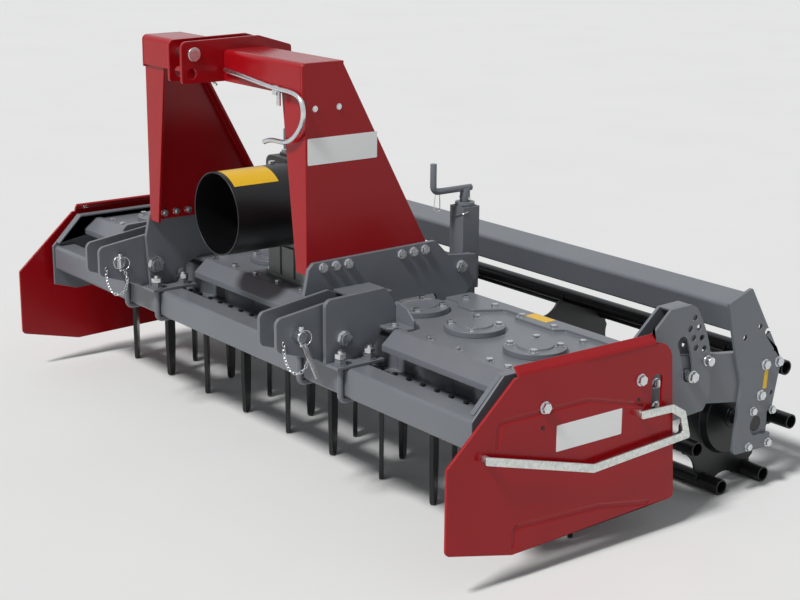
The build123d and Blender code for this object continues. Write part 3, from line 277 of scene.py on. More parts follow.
@dataclass(frozen=True)
class CoatedSteel:
    """Zinc on steel, bright where plated and with a grain of crystals where hot dipped."""

    name: str
    colour: str
    tint: str
    roughness: float
    grain_mm: float
    gloss_share: Flat = (0.8, 1.25)
    skin_mm: float = 1.4286
    skin_height: float = 0.00003

    def material(self) -> bpy.types.Material:
        """Build the metal, with crystals or plating stains as wide as the grain.

        Returns:
            The new material.
        """
        material, tree, place = new_material(self.name)
        crystals = add_node(tree, "ShaderNodeTexVoronoi", {"Vector": place, "Scale": 1000 / self.grain_mm})
        value = add_node(tree, "ShaderNodeSeparateColor", {"Color": crystals.outputs["Color"]}).outputs["Red"]
        finish_material(
            tree,
            {
                "Base Color": blend(tree, value, self.colour, self.tint),
                "Metallic": 1.0,
                "Roughness": spread(tree, value, self.roughness, self.gloss_share),
                "Normal": relief(tree, clouds(tree, place, self.skin_mm, 2.0), self.skin_height),
            },
        )
        return material


@dataclass(frozen=True)
class MouldedPlastic:
    """Blow-moulded polythene: black, a little waxy, with a fine leathery grain."""

    name: str
    colour: str
    roughness: float
    grain_mm: float = 1.5
    grain_height: float = 0.00006
    gloss_mm: float = 111.11
    gloss_share: Flat = (0.8, 1.3)

    def material(self) -> bpy.types.Material:
        """Build the plastic, with its grain and a slow change of gloss.

        Returns:
            The new material.
        """
        material, tree, place = new_material(self.name)
        gloss = clouds(tree, place, self.gloss_mm, 3.0)
        finish_material(
            tree,
            {
                "Base Color": linear(self.colour),
                "Roughness": spread(tree, gloss, self.roughness, self.gloss_share),
                "Normal": relief(tree, clouds(tree, place, self.grain_mm, 3.0), self.grain_height),
                "IOR": 1.5,
            },
        )
        return material


@dataclass(frozen=True)
class PlainVinyl:
    """Self-adhesive vinyl with nothing printed on it, smooth and slightly glossy."""

    name: str
    colour: str
    roughness: float = 0.35
    ripple_mm: float = 25.0
    ripple_height: float = 0.0002

    def material(self) -> bpy.types.Material:
        """Build the vinyl, with the slight waviness of a film rubbed down by hand.

        Returns:
            The new material.
        """
        material, tree, place = new_material(self.name)
        ripple = relief(tree, clouds(tree, place, self.ripple_mm, 1.0), self.ripple_height)
        colour = linear(self.colour)
        inputs = {"Base Color": colour, "Roughness": self.roughness, "Normal": ripple, "IOR": 1.46}
        finish_material(tree, inputs)
        return material


FINISHES: dict[Finish, SprayedEnamel | CoatedSteel | MouldedPlastic | PlainVinyl] = {
    # Gloss red tractor enamel: one deep, wet-looking colour
    Finish.RED: SprayedEnamel("gloss red enamel", "#A40C17", "#960912", 0.22, specular=0.3, dust=0.02),
    # Semi-gloss iron-grey enamel, a little blue
    Finish.GREY: SprayedEnamel("semi-gloss grey enamel", "#6F7379", "#666A70", 0.33),
    # The same enamel on sand-cast iron: a pebbly skin that scatters the light
    Finish.CAST: SprayedEnamel(
        "grey enamel on sand casting",
        "#8A908C",
        "#7A807F",
        0.46,
        peel_mm=6.0,
        peel_height=0.0006,
        patch_mm=90.0,
    ),
    # Black dip paint on wearing parts
    Finish.BLACK: SprayedEnamel("black dip enamel", "#121315", "#18191B", 0.34, dust=0.03),
    # Bright zinc plate on fasteners, with a faint yellow and blue passivate
    Finish.ZINC: CoatedSteel("bright zinc plate", "#E0E1E1", "#CFD3D6", 0.26, 9.0),
    # Hot-dip galvanising with its pale crystals
    Finish.GALVANISED: CoatedSteel("hot-dip galvanising", "#E2E4DF", "#CDD1CE", 0.42, 7.0),
    # Black polythene: a deep, waxy black
    Finish.PLASTIC: MouldedPlastic("black polythene", "#08080A", 0.36),
    # Turned steel left bare and oiled
    Finish.STEEL: CoatedSteel("turned steel", "#A9A8A4", "#9C9A95", 0.3, 3.0),
    # White vinyl: a bright flat patch on the red
    Finish.WHITE_VINYL: PlainVinyl("plain white vinyl", "#F0F1F0"),
    # Yellow vinyl: a small warm patch on black and grey
    Finish.YELLOW_VINYL: PlainVinyl("plain yellow vinyl", "#E8B818"),
}


@dataclass(frozen=True)
class Viewpoint:
    """Where the photograph was taken from, counted from the row of rotors on the floor."""

    place: Point = (3.623, -2.5058, 1.594)
    yaw: float = 52.49
    pitch: float = 15.26
    roll: float = 0.43
    focal_px: float = 1649.5
    frame_px: int = 800

    def build(self, row_y: float) -> None:
        """Make the camera and give it to the scene.

        Args:
            row_y: Where the row of rotors stands.
        """
        yaw, pitch, roll = (math.radians(v) for v in (self.yaw, self.pitch, self.roll))
        back = Vector((math.sin(yaw) * math.cos(pitch), -math.cos(yaw) * math.cos(pitch), math.sin(pitch)))
        level = Vector((math.cos(yaw), math.sin(yaw), 0))
        upright = back.cross(level)
        right = math.cos(roll) * level + math.sin(roll) * upright
        up = math.cos(roll) * upright - math.sin(roll) * level
        camera = bpy.data.objects.new("camera", bpy.data.cameras.new("camera"))
        camera.data.sensor_width = 36.0
        camera.data.lens = self.focal_px / self.frame_px * camera.data.sensor_width
        stand = Matrix.Translation(Vector(self.place) + Vector((0, row_y, 0)))
        camera.matrix_world = stand @ Matrix((right, up, back)).transposed().to_4x4()
        bpy.context.scene.collection.objects.link(camera)
        bpy.context.scene.camera = camera


@dataclass(frozen=True)
class Studio:
    """Pale floor, one broad soft light from the tractor's side and above, and a pale surround."""

    floor_half: float = 40.0
    floor_colour: str = "#E2E2E0"
    floor_shade: str = "#E9E9E7"
    light_direction: Point = (0.12, -0.60, 0.80)
    light_strength: float = 2.9
    light_angle: float = 0.16
    surround: float = 0.26
    backdrop: float = 0.70
    surround_tint: tuple[float, float, float, float] = (0.93, 0.96, 1.0, 1.0)
    cloud_mm: float = 769.23

    def build(self) -> None:
        """Make the floor, the light and the world."""
        self._floor()
        light = bpy.data.lights.new("soft light", "SUN")
        light.energy = self.light_strength
        light.angle = self.light_angle
        hung = bpy.data.objects.new("soft light", light)
        hung.rotation_euler = Vector(self.light_direction).to_track_quat("Z", "Y").to_euler()
        bpy.context.scene.collection.objects.link(hung)
        self._world()
        bpy.context.scene.view_settings.view_transform = "Standard"

    def _world(self) -> None:
        """Light the object from all round, and show a paler backdrop to the eye and to gloss."""
        world = bpy.data.worlds.new("surround")
        world.use_nodes = True
        tree = world.node_tree
        tree.nodes.clear()
        path = add_node(tree, "ShaderNodeLightPath").outputs
        seen = calculate(tree, "ADD", path["Is Camera Ray"], path["Is Glossy Ray"])
        shown = calculate(tree, "ADD", seen, path["Is Transmission Ray"])
        around, backdrop = (
            add_node(tree, "ShaderNodeBackground", {"Color": self.surround_tint, "Strength": strength})
            for strength in (self.surround, self.backdrop)
        )
        shaders = {0: shown, 1: around.outputs["Background"], 2: backdrop.outputs["Background"]}
        both = add_node(tree, "ShaderNodeMixShader", shaders)
        add_node(tree, "ShaderNodeOutputWorld", {"Surface": both.outputs["Shader"]})
        bpy.context.scene.world = world

    def _floor(self) -> None:
        """Make the floor of pale smooth concrete."""
        half = self.floor_half
        mesh = bpy.data.meshes.new("floor")
        corners = [(-half, -half, 0), (half, -half, 0), (half, half, 0), (-half, half, 0)]
        mesh.from_pydata(corners, [], [(0, 1, 2, 3)])
        floor = bpy.data.objects.new("floor", mesh)
        bpy.context.scene.collection.objects.link(floor)
        material, tree, place = new_material("pale concrete")
        colour = blend(tree, clouds(tree, place, self.cloud_mm, 5.0), self.floor_colour, self.floor_shade)
        finish_material(tree, {"Base Color": colour, "Roughness": 0.8})
        mesh.materials.append(material)


def ease_corners(points: list[Vector], radius: float, closed: bool, steps: int = 5) -> list[Vector]:
    """Round the corners of a line.

    Args:
        points: The line's corners.
        radius: Radius of every bend.
        closed: Whether the line ends where it starts.
        steps: Number of runs in each bend.

    Returns:
        The points of the rounded line.
    """
    count = len(points)
    line: list[Vector] = []
    for index, corner in enumerate(points):
        if radius <= 0 or (not closed and index in (0, count - 1)):
            line.append(corner)
            continue
        to_last, to_next = points[index - 1] - corner, points[(index + 1) % count] - corner
        half = to_last.angle(to_next) / 2
        if half > math.radians(89):
            line.append(corner)
            continue
        reach = min(radius / math.tan(half), 0.48 * to_last.length, 0.48 * to_next.length)
        inward = (to_last.normalized() + to_next.normalized()).normalized()
        middle = corner + inward * (reach / math.cos(half))
        first = corner + to_last.normalized() * reach - middle
        last = corner + to_next.normalized() * reach - middle
        turned = [first.slerp(last, step / steps).normalized() for step in range(steps + 1)]
        line.extend(middle + first.length * way for way in turned)
    return line


class Bench:
    """Makes one mesh out of bars, plates and bent rods, with Y counted from the rotor row."""

    def __init__(self, row_y: float) -> None:
        """Start with nothing on the bench."""
        self.shape = bmesh.new()
        self.shift = Vector((0, row_y, 0))

    def bar(
        self, start: Point, end: Point, radius: float, sides: int = 24, far_radius: float | None = None
    ) -> None:
        """Add a round bar or cone.

        Args:
            start: Middle of its first end.
            end: Middle of its other end.
            radius: Radius at the first end.
            sides: Number of its sides.
            far_radius: Radius at the other end, where it differs.
        """
        first, last = Vector(start) + self.shift, Vector(end) + self.shift
        axis = last - first
        turn = axis.to_track_quat("Z", "Y").to_matrix().to_4x4()
        bmesh.ops.create_cone(
            self.shape,
            cap_ends=True,
            segments=sides,
            radius1=radius,
            radius2=radius if far_radius is None else far_radius,
            depth=axis.length,
            matrix=Matrix.Translation((first + last) / 2) @ turn,
        )

    def plate(self, outline: list[Point], depth: Point, corner: float = 0.0) -> None:
        """Add a flat plate.

        Args:
            outline: Its corners in order.
            depth: Its thickness as a vector.
            corner: Radius of its corners.
        """
        low = [Vector(p) + self.shift for p in outline]
        if corner:
            low = ease_corners(low, corner, True)
        near = [self.shape.verts.new(p) for p in low]
        far = [self.shape.verts.new(p + Vector(depth)) for p in low]
        self.shape.faces.new(near)
        self.shape.faces.new(reversed(far))
        for index in range(len(near)):
            self.shape.faces.new((near[index - 1], near[index], far[index], far[index - 1]))

    def block(self, low: Point, high: Point) -> None:
        """Add a straight block between two of its corners."""
        (x0, y0, z0), (x1, y1, z1) = low, high
        self.plate([(x0, y0, z0), (x1, y0, z0), (x1, y1, z0), (x0, y1, z0)], (0, 0, z1 - z0))

    def rod(
        self, path: list[Point], radius: float, bend: float = 0.0, sides: int = 12, closed: bool = False
    ) -> None:
        """Add a bent rod.

        Args:
            path: Corners of its centre line.
            radius: Its radius.
            bend: Radius of its bends.
            sides: Number of its sides.
            closed: Whether it is a ring.
        """
        line = ease_corners([Vector(p) + self.shift for p in path], bend, closed)
        count = len(line)
        out = (line[1] - line[0]).orthogonal().normalized()
        rings: list[list[bmesh.types.BMVert]] = []
        for index, middle in enumerate(line):
            before = line[index - 1] if index or closed else line[0]
            after = line[(index + 1) % count] if index < count - 1 or closed else line[-1]
            along = (after - before).normalized()
            out = (out - along * out.dot(along)).normalized()
            across = along.cross(out)
            turns = [math.tau * k / sides for k in range(sides)]
            spokes = [math.cos(t) * out + math.sin(t) * across for t in turns]
            rings.append([self.shape.verts.new(middle + radius * spoke) for spoke in spokes])
        pairs = zip(rings, rings[1:] + (rings[:1] if closed else []))
        for ring, following in pairs:
            for k in range(sides):
                self.shape.faces.new((ring[k - 1], ring[k], following[k], following[k - 1]))
        if not closed:
            self.shape.faces.new(rings[0])
            self.shape.faces.new(reversed(rings[-1]))

    def ring(self, middle: Point, radius: float, wire: float) -> None:
        """Add a wire ring that stands across the X axis.

        Args:
            middle: Its middle.
            radius: Radius of its centre line.
            wire: Radius of its wire.
        """
        x, y, z = middle
        turns = [math.tau * k / 24 for k in range(24)]
        path = [(x, y + radius * math.cos(t), z + radius * math.sin(t)) for t in turns]
        self.rod(path, wire, sides=8, closed=True)

    def mesh(self, name: str, edge: float = 0.0) -> bpy.types.Mesh:
        """Round the edges and take the mesh off the bench.

        Args:
            name: The mesh's name.
            edge: Width of the rounded edges, or nothing for none.

        Returns:
            The finished mesh.
        """
        bmesh.ops.recalc_face_normals(self.shape, faces=self.shape.faces)
        if edge:
            shared = [e for e in self.shape.edges if len(e.link_faces) == 2]
            sharp = [e for e in shared if e.calc_face_angle(0.0) > SHARP_ANGLE]
            bmesh.ops.bevel(
                self.shape,
                geom=sharp,
                offset=edge,
                segments=2,
                profile=0.5,
                affect="EDGES",
                clamp_overlap=True,
            )
        mesh = bpy.data.meshes.new(name)
        self.shape.to_mesh(mesh)
        self.shape.free()
        shade_smooth(mesh)
        return mesh


class FastenerKind(Enum):
    """What stands on a surface."""

    HEAD = "head"
    PLAIN_HEAD = "plain_head"
    RIVET = "rivet"
    NUT = "nut"
    LOWER_NUT = "lower_nut"


@dataclass(frozen=True)
class Fastener:
    """One bolt head or nut: its place on a surface, the way it points and its thread's diameter."""

    body: str
    place: Point
    axis: Point
    thread: float
    kind: FastenerKind
    finish: Finish


@dataclass(frozen=True)
class FastenerShape:
    """Sizes of a hex fastener as multiples of its thread's diameter."""

    across_flats: float = 1.65
    height: float = 0.65
    washer_radius: float = 1.1
    washer_height: float = 0.18
    stud_length: float = 0.0


SHAPES: dict[FastenerKind, FastenerShape] = {
    FastenerKind.HEAD: FastenerShape(),
    FastenerKind.PLAIN_HEAD: FastenerShape(washer_radius=0.98, washer_height=0.1),
    FastenerKind.RIVET: FastenerShape(1.2, 0.16, 0.85, 0.16),
    FastenerKind.NUT: FastenerShape(height=0.7, washer_radius=0.9, washer_height=0.05, stud_length=0.45),
    FastenerKind.LOWER_NUT: FastenerShape(height=0.75),
}


class NodeWork:
    """Small base of the Geometry Nodes trees: named inputs, sums and how a tree is run."""

    def __init__(self, name: str, sockets: tuple[tuple[str, str], ...]) -> None:
        """Start a tree with its named inputs.

        Args:
            name: The tree's name.
            sockets: Each input's name and socket type.
        """
        self.tree = bpy.data.node_groups.new(name, "GeometryNodeTree")
        self.tree.interface.new_socket("Geometry", in_out="INPUT", socket_type="NodeSocketGeometry")
        for label, kind in sockets:
            self.tree.interface.new_socket(label, in_out="INPUT", socket_type=kind)
        self.tree.interface.new_socket("Geometry", in_out="OUTPUT", socket_type="NodeSocketGeometry")
        self.given = self.tree.nodes.new("NodeGroupInput").outputs

    def sum(self, operation: str, first: object, second: object) -> bpy.types.NodeSocket:
        """Return the output of a math node on two values."""
        return calculate(self.tree, operation, first, second)

    def turned(self, along: object, axis: str, about: Point, angle: object) -> bpy.types.NodeSocket:
        """Aim a part along a direction and turn it about one of its own axes.

        Args:
            along: The direction.
            axis: The part's own axis that takes that direction.
            about: The part's own axis that it turns about.
            angle: The turn in radians.

        Returns:
            The rotation.
        """
        aim = add_node(self.tree, "FunctionNodeAlignRotationToVector", {"Vector": along}, axis=axis)
        spin = add_node(self.tree, "FunctionNodeAxisAngleToRotation", {"Axis": about, "Angle": angle})
        turns = {"Rotation": aim.outputs["Rotation"], "Rotate By": spin.outputs["Rotation"]}
        both = add_node(self.tree, "FunctionNodeRotateRotation", turns, rotation_space="LOCAL")
        return both.outputs["Rotation"]

    def close(self, points: object, part: object, **settings: object) -> None:
        """End the tree: set a part on every point, make it real and give it its finish.

        Args:
            points: Points or a curve.
            part: What is set on them.
            settings: Rotation and scale, where they differ from none.
        """
        inputs = {"Points": points, "Instance": part, **settings}
        copies = add_node(self.tree, "GeometryNodeInstanceOnPoints", inputs).outputs["Instances"]
        real = add_node(self.tree, "GeometryNodeRealizeInstances", {"Geometry": copies}).outputs["Geometry"]
        finished = {"Geometry": real, "Material": self.given["Finish"]}
        dressed = add_node(self.tree, "GeometryNodeSetMaterial", finished).outputs["Geometry"]
        add_node(self.tree, "NodeGroupOutput", {"Geometry": dressed})

    def run(self, source: bpy.types.Mesh, values: dict[str, object]) -> bpy.types.Mesh:
        """Run the tree on a mesh of points or lines.

        Args:
            source: What the tree starts from.
            values: Input name and value.

        Returns:
            The plain mesh that the tree makes.
        """
        holder = bpy.data.objects.new("holder", source)
        bpy.context.scene.collection.objects.link(holder)
        modifier = holder.modifiers.new("tree", "NODES")
        modifier.node_group = self.tree
        for item in self.tree.interface.items_tree:
            if item.in_out == "INPUT" and item.name in values:
                modifier[item.identifier] = values[item.name]
        graph = bpy.context.evaluated_depsgraph_get()
        mesh = bpy.data.meshes.new_from_object(holder.evaluated_get(graph))
        bpy.data.objects.remove(holder)
        shade_smooth(mesh)
        return mesh


class FastenerTree(NodeWork):
    """Tree that sets a washer, a hexagon and a stud end on every point."""

    def __init__(self) -> None:
        """Build the tree once; every set of fasteners then uses it."""
        super().__init__(
            "hex_fasteners",
            (
                ("Across Flats", "NodeSocketFloat"),
                ("Head Height", "NodeSocketFloat"),
                ("Washer Radius", "NodeSocketFloat"),
                ("Washer Height", "NodeSocketFloat"),
                ("Stud Length", "NodeSocketFloat"),
                ("Seed", "NodeSocketInt"),
                ("Finish", "NodeSocketMaterial"),
            ),
        )
        tree, given = self.tree, self.given
        washer = self._bar(given["Washer Radius"], given["Washer Height"], 0.0, 24)
        corner = self.sum("MULTIPLY", given["Across Flats"], 1 / math.sqrt(3))
        hexagon = self._bar(corner, given["Head Height"], given["Washer Height"], 6)
        top = self.sum("ADD", given["Washer Height"], given["Head Height"])
        # The turned chamfer on a hexagon leaves a round face a little under its flats
        face = self.sum("MULTIPLY", given["Across Flats"], 0.47)
        crown = self._bar(face, 0.05, top, 20)
        stud = self._bar(0.48, given["Stud Length"], top, 12)
        joined = add_node(tree, "GeometryNodeJoinGeometry")
        for part in (washer, hexagon, crown, stud):
            tree.links.new(part, joined.inputs["Geometry"])

        axis = add_node(tree, "GeometryNodeInputNamedAttribute", {"Name": "axis"}, data_type="FLOAT_VECTOR")
        size = add_node(tree, "GeometryNodeInputNamedAttribute", {"Name": "thread"}, data_type="FLOAT")
        turn = add_node(tree, "FunctionNodeRandomValue", {"Seed": given["Seed"]}, data_type="FLOAT")
        angle = self.sum("MULTIPLY", turn.outputs[1], math.tau)
        rotation = self.turned(axis.outputs["Attribute"], "Z", (0, 0, 1), angle)
        fastener = joined.outputs["Geometry"]
        self.close(given["Geometry"], fastener, Rotation=rotation, Scale=size.outputs["Attribute"])

    def _bar(self, radius: object, depth: object, base: object, sides: int) -> bpy.types.NodeSocket:
        """Return an upright bar that stands on a height.

        Args:
            radius: Radius to its corners.
            depth: Its height.
            base: The height it stands on.
            sides: Number of its sides.

        Returns:
            The bar.
        """
        size = {"Vertices": sides, "Radius": radius, "Depth": depth}
        bar = add_node(self.tree, "GeometryNodeMeshCylinder", size)
        half = self.sum("MULTIPLY", depth, 0.5)
        middle = self.sum("ADD", half, base)
        lift = add_node(self.tree, "ShaderNodeCombineXYZ", {"Z": middle})
        raised = {"Geometry": bar.outputs["Mesh"], "Translation": lift.outputs["Vector"]}
        return add_node(self.tree, "GeometryNodeTransform", raised).outputs["Geometry"]


class ChainTree(NodeWork):
    """Tree that lays welded links along a line, each a quarter turned against the last."""

    def __init__(self) -> None:
        """Build the tree of the chain."""
        super().__init__(
            "link_chain",
            (
                ("Link Pitch", "NodeSocketFloat"),
                ("Link Length", "NodeSocketFloat"),
                ("Link Width", "NodeSocketFloat"),
                ("Wire Radius", "NodeSocketFloat"),
                ("Finish", "NodeSocketMaterial"),
            ),
        )
        tree, given = self.tree, self.given
        line = add_node(tree, "GeometryNodeMeshToCurve", {"Mesh": given["Geometry"]})
        spaced = add_node(tree, "GeometryNodeResampleCurve", {"Curve": line.outputs["Curve"]})
        spaced.mode = "LENGTH"
        tree.links.new(given["Link Pitch"], spaced.inputs["Length"])
        oval = add_node(tree, "GeometryNodeCurvePrimitiveCircle", {"Resolution": 14, "Radius": 0.5})
        size = {"X": given["Link Length"], "Y": given["Link Width"], "Z": 1.0}
        scale = add_node(tree, "ShaderNodeCombineXYZ", size).outputs["Vector"]
        path = add_node(tree, "GeometryNodeTransform", {"Geometry": oval.outputs["Curve"], "Scale": scale})
        section = {"Resolution": 6, "Radius": given["Wire Radius"]}
        wire = add_node(tree, "GeometryNodeCurvePrimitiveCircle", section)
        curves = {"Curve": path.outputs["Geometry"], "Profile Curve": wire.outputs["Curve"]}
        link = add_node(tree, "GeometryNodeCurveToMesh", curves)
        along = add_node(tree, "GeometryNodeInputTangent")
        number = add_node(tree, "GeometryNodeInputIndex")
        odd = self.sum("MODULO", number.outputs["Index"], 2.0)
        quarter = self.sum("MULTIPLY", odd, math.pi / 2)
        rotation = self.turned(along.outputs["Tangent"], "X", (1, 0, 0), quarter)
        self.close(spaced.outputs["Curve"], link.outputs["Mesh"], Rotation=rotation)


class RibTree(NodeWork):
    """Tree that stands one cast rib on every point."""

    def __init__(self) -> None:
        """Build the tree of the ribs."""
        super().__init__("cast_ribs", (("Rib Size", "NodeSocketVector"), ("Finish", "NodeSocketMaterial")))
        rib = add_node(self.tree, "GeometryNodeMeshCube", {"Size": self.given["Rib Size"]})
        self.close(self.given["Geometry"], rib.outputs["Mesh"])


class Workshop:
    """Shared bench of the sub-assemblies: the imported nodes, the finishes and the row's place."""

    def __init__(self, frame: dict) -> None:
        """Read the frame and build every finish.
        """
        self.nodes: dict[str, bpy.types.Object] = frame["nodes"]
        self.bodies: dict[str, list[str]] = frame["record"]["behaviour"]["bodies"]
        self.finishes = {finish: recipe.material() for finish, recipe in FINISHES.items()}
        by_slot = {finish.slot: finish for finish in reversed(Finish)}
        self.node_finish = {row["node"]: by_slot[row["material_slot"]] for row in frame["record"]["subparts"]}
        low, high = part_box("rotor_5")
        self.row_y = (low.y + high.y) / 2
        self.fasteners: list[Fastener] = []

    def place(self, x: float, y: float, z: float) -> Vector:
        """Return the point whose Y is counted from the rotor row."""
        return Vector((x, y + self.row_y, z))

    def bench(self) -> Bench:
        """Return an empty bench."""
        return Bench(self.row_y)

    def body_of(self, node: str) -> str:
        """Return the body that a node belongs to."""
        return next(body for body, members in self.bodies.items() if node in members)

    def add_piece(self, name: str, mesh: bpy.types.Mesh, body: str, finish: Finish) -> bpy.types.Object:
        """Put a finished mesh into the scene on its body.

        Args:
            name: The piece's name.
            mesh: The mesh, already in place.
            body: The body it rides on.
            finish: The finish it takes.

        Returns:
            The new object.
        """
        piece = bpy.data.objects.new(name, mesh)
        bpy.context.scene.collection.objects.link(piece)
        mesh.materials.clear()
        mesh.materials.append(self.finishes[finish])
        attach(piece, body)
        log.info("%s: %d faces on %s", name, len(mesh.polygons), body)
        return piece

    def soften(self, node: str, width: float, finish: Finish | None = None) -> bpy.types.Object:
        """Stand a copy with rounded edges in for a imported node.

        Args:
            node: The node's name.
            width: Width of the rounded edges.
            finish: Its finish, where it isn't the usual one of its slot.

        Returns:
            The piece that is shown.
        """
        mesh = self.nodes[node].data.copy()
        shape = bmesh.new()
        shape.from_mesh(mesh)
        bmesh.ops.remove_doubles(shape, verts=shape.verts, dist=WELD_DISTANCE)
        bmesh.ops.dissolve_limit(
            shape,
            angle_limit=FLAT_ANGLE,
            verts=shape.verts,
            edges=shape.edges,
            use_dissolve_boundaries=False,
        )
        shape.to_mesh(mesh)
        shape.free()
        name = f"{node}_shell"
        rough = bpy.data.objects.new(name, mesh)
        bpy.context.scene.collection.objects.link(rough)
        bevel = rough.modifiers.new("edges", "BEVEL")
        bevel.width = width
        bevel.segments = 2
        bevel.limit_method = "ANGLE"
        bevel.angle_limit = BEVEL_ANGLE
        bevel.use_clamp_overlap = False
        bevel.miter_outer = "MITER_ARC"
        weighted = rough.modifiers.new("shading", "WEIGHTED_NORMAL")
        weighted.keep_sharp = True
        for face in mesh.polygons:
            face.use_smooth = True
        graph = bpy.context.evaluated_depsgraph_get()
        done = bpy.data.meshes.new_from_object(rough.evaluated_get(graph))
        bpy.data.objects.remove(rough)
        done.name = name
        piece = self.add_piece(name, done, self.body_of(node), finish or self.node_finish[node])
        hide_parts(node)
        return piece

    def dress(self, node: str) -> None:
        """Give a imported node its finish.

        Args:
            node: The node's name.
        """
        data = self.nodes[node].data
        data.materials.clear()
        data.materials.append(self.finishes[self.node_finish[node]])

    def points(self, name: str, places: list[Vector], lined: bool = False) -> bpy.types.Mesh:
        """Make a mesh of points.

        Args:
            name: The mesh's name.
            places: Where the points are.
            lined: Whether a line joins them.

        Returns:
            The mesh.
        """
        mesh = bpy.data.meshes.new(name)
        edges = [(k, k + 1) for k in range(len(places) - 1)] if lined else []
        mesh.from_pydata(places, edges, [])
        return mesh

    def set_fasteners(self) -> None:
        """Make one mesh of all fasteners of each body, kind and finish."""
        builder = FastenerTree()
        groups = sorted({(row.body, row.kind.value, row.finish.name) for row in self.fasteners})
        for body, kind_name, finish_name in groups:
            kind, finish = FastenerKind(kind_name), Finish[finish_name]
            rows = [r for r in self.fasteners if (r.body, r.kind, r.finish) == (body, kind, finish)]
            name = f"{finish_name.lower()}_{kind_name}s_{body}"
            points = self.points(name, [self.place(*row.place) for row in rows])
            axis = points.attributes.new("axis", "FLOAT_VECTOR", "POINT")
            axis.data.foreach_set("vector", [v for row in rows for v in row.axis])
            thread = points.attributes.new("thread", "FLOAT", "POINT")
            thread.data.foreach_set("value", [row.thread for row in rows])
            shape = SHAPES[kind]
            values = {
                "Across Flats": shape.across_flats,
                "Head Height": shape.height,
                "Washer Radius": shape.washer_radius,
                "Washer Height": shape.washer_height,
                "Stud Length": shape.stud_length,
                "Seed": TURN_SEED,
                "Finish": self.finishes[finish],
            }
            self.add_piece(name, builder.run(points, values), body, finish)


@dataclass
class SubAssembly:
    """One group of pieces that is dressed together."""

    shop: Workshop
    edge: float = 0.0015
    body: str = "frame"

    def soften_all(self, *nodes: str) -> None:
        """Round the edges of several nodes by the group's own width."""
        for node in nodes:
            self.shop.soften(node, self.edge)

    def piece(self, name: str, bench: Bench, finish: Finish, edge: float = 0.0) -> bpy.types.Object:
        """Put what lies on a bench into the scene, on the group's body."""
        return self.shop.add_piece(name, bench.mesh(name, edge), self.body, finish)

    def bolt(
        self,
        place: Point,
        axis: Point,
        thread: float,
        kind: FastenerKind = FastenerKind.HEAD,
        finish: Finish = Finish.ZINC,
    ) -> None:
        """Note one fastener for the shop to set."""
        self.shop.fasteners.append(Fastener(self.body, place, axis, thread, kind, finish))

    def sticker(self, name: str, x: float, side: int, outline: tuple[Flat, ...], finish: Finish) -> None:
        """Put a thin vinyl on a face that looks along X.

        Args:
            name: The piece's name.
            x: Distance of the face from the middle.
            side: Plus or minus one for its half of the machine.
            outline: Corners as (Y, Z).
            finish: The vinyl.
        """
        bench = self.shop.bench()
        bench.plate([(side * x, y, z) for y, z in outline], (side * STICKER_DEPTH, 0, 0), corner=0.003)
        self.piece(name, bench, finish)


@dataclass
class Headstock(SubAssembly):
    """Front bar, end plates and the inner walls of the depth sectors."""

    plate_face: float = 1.026
    pivot: Flat = (0.120, 0.340)
    stop_pin: Flat = (0.4306, 0.398)
    slot_heads: tuple[Flat, ...] = ((0.255, 0.373), (0.259, 0.314))
    pivot_washer: float = 0.004
    # Collar and head of a stop pin: start and end from the plate, and radius
    stop_steps: tuple[Point, ...] = ((0.0, 0.006, 0.0135), (0.006, 0.020, 0.0115))

    def build(self) -> None:
        """Dress the headstock and bolt it."""
        self.soften_all("front_bar", "end_plate_left", "end_plate_right", "sector_walls")
        self.shop.dress("pivot_pins")
        bench = self.shop.bench()
        y, z = self.stop_pin
        for _, side in SIDES:
            self.bolt((side * (self.plate_face + self.pivot_washer), *self.pivot), (side, 0, 0), 0.018)
            for place in self.slot_heads:
                self.bolt((side * self.plate_face, *place), (side, 0, 0), 0.012)
            # Head of the stop pin in the lowest hole, with its collar
            face = side * self.plate_face
            for start, end, radius in self.stop_steps:
                bench.bar((face + side * start, y, z), (face + side * end, y, z), radius, 28)
        self.piece("stop_pin_heads", bench, Finish.ZINC, 0.0012)


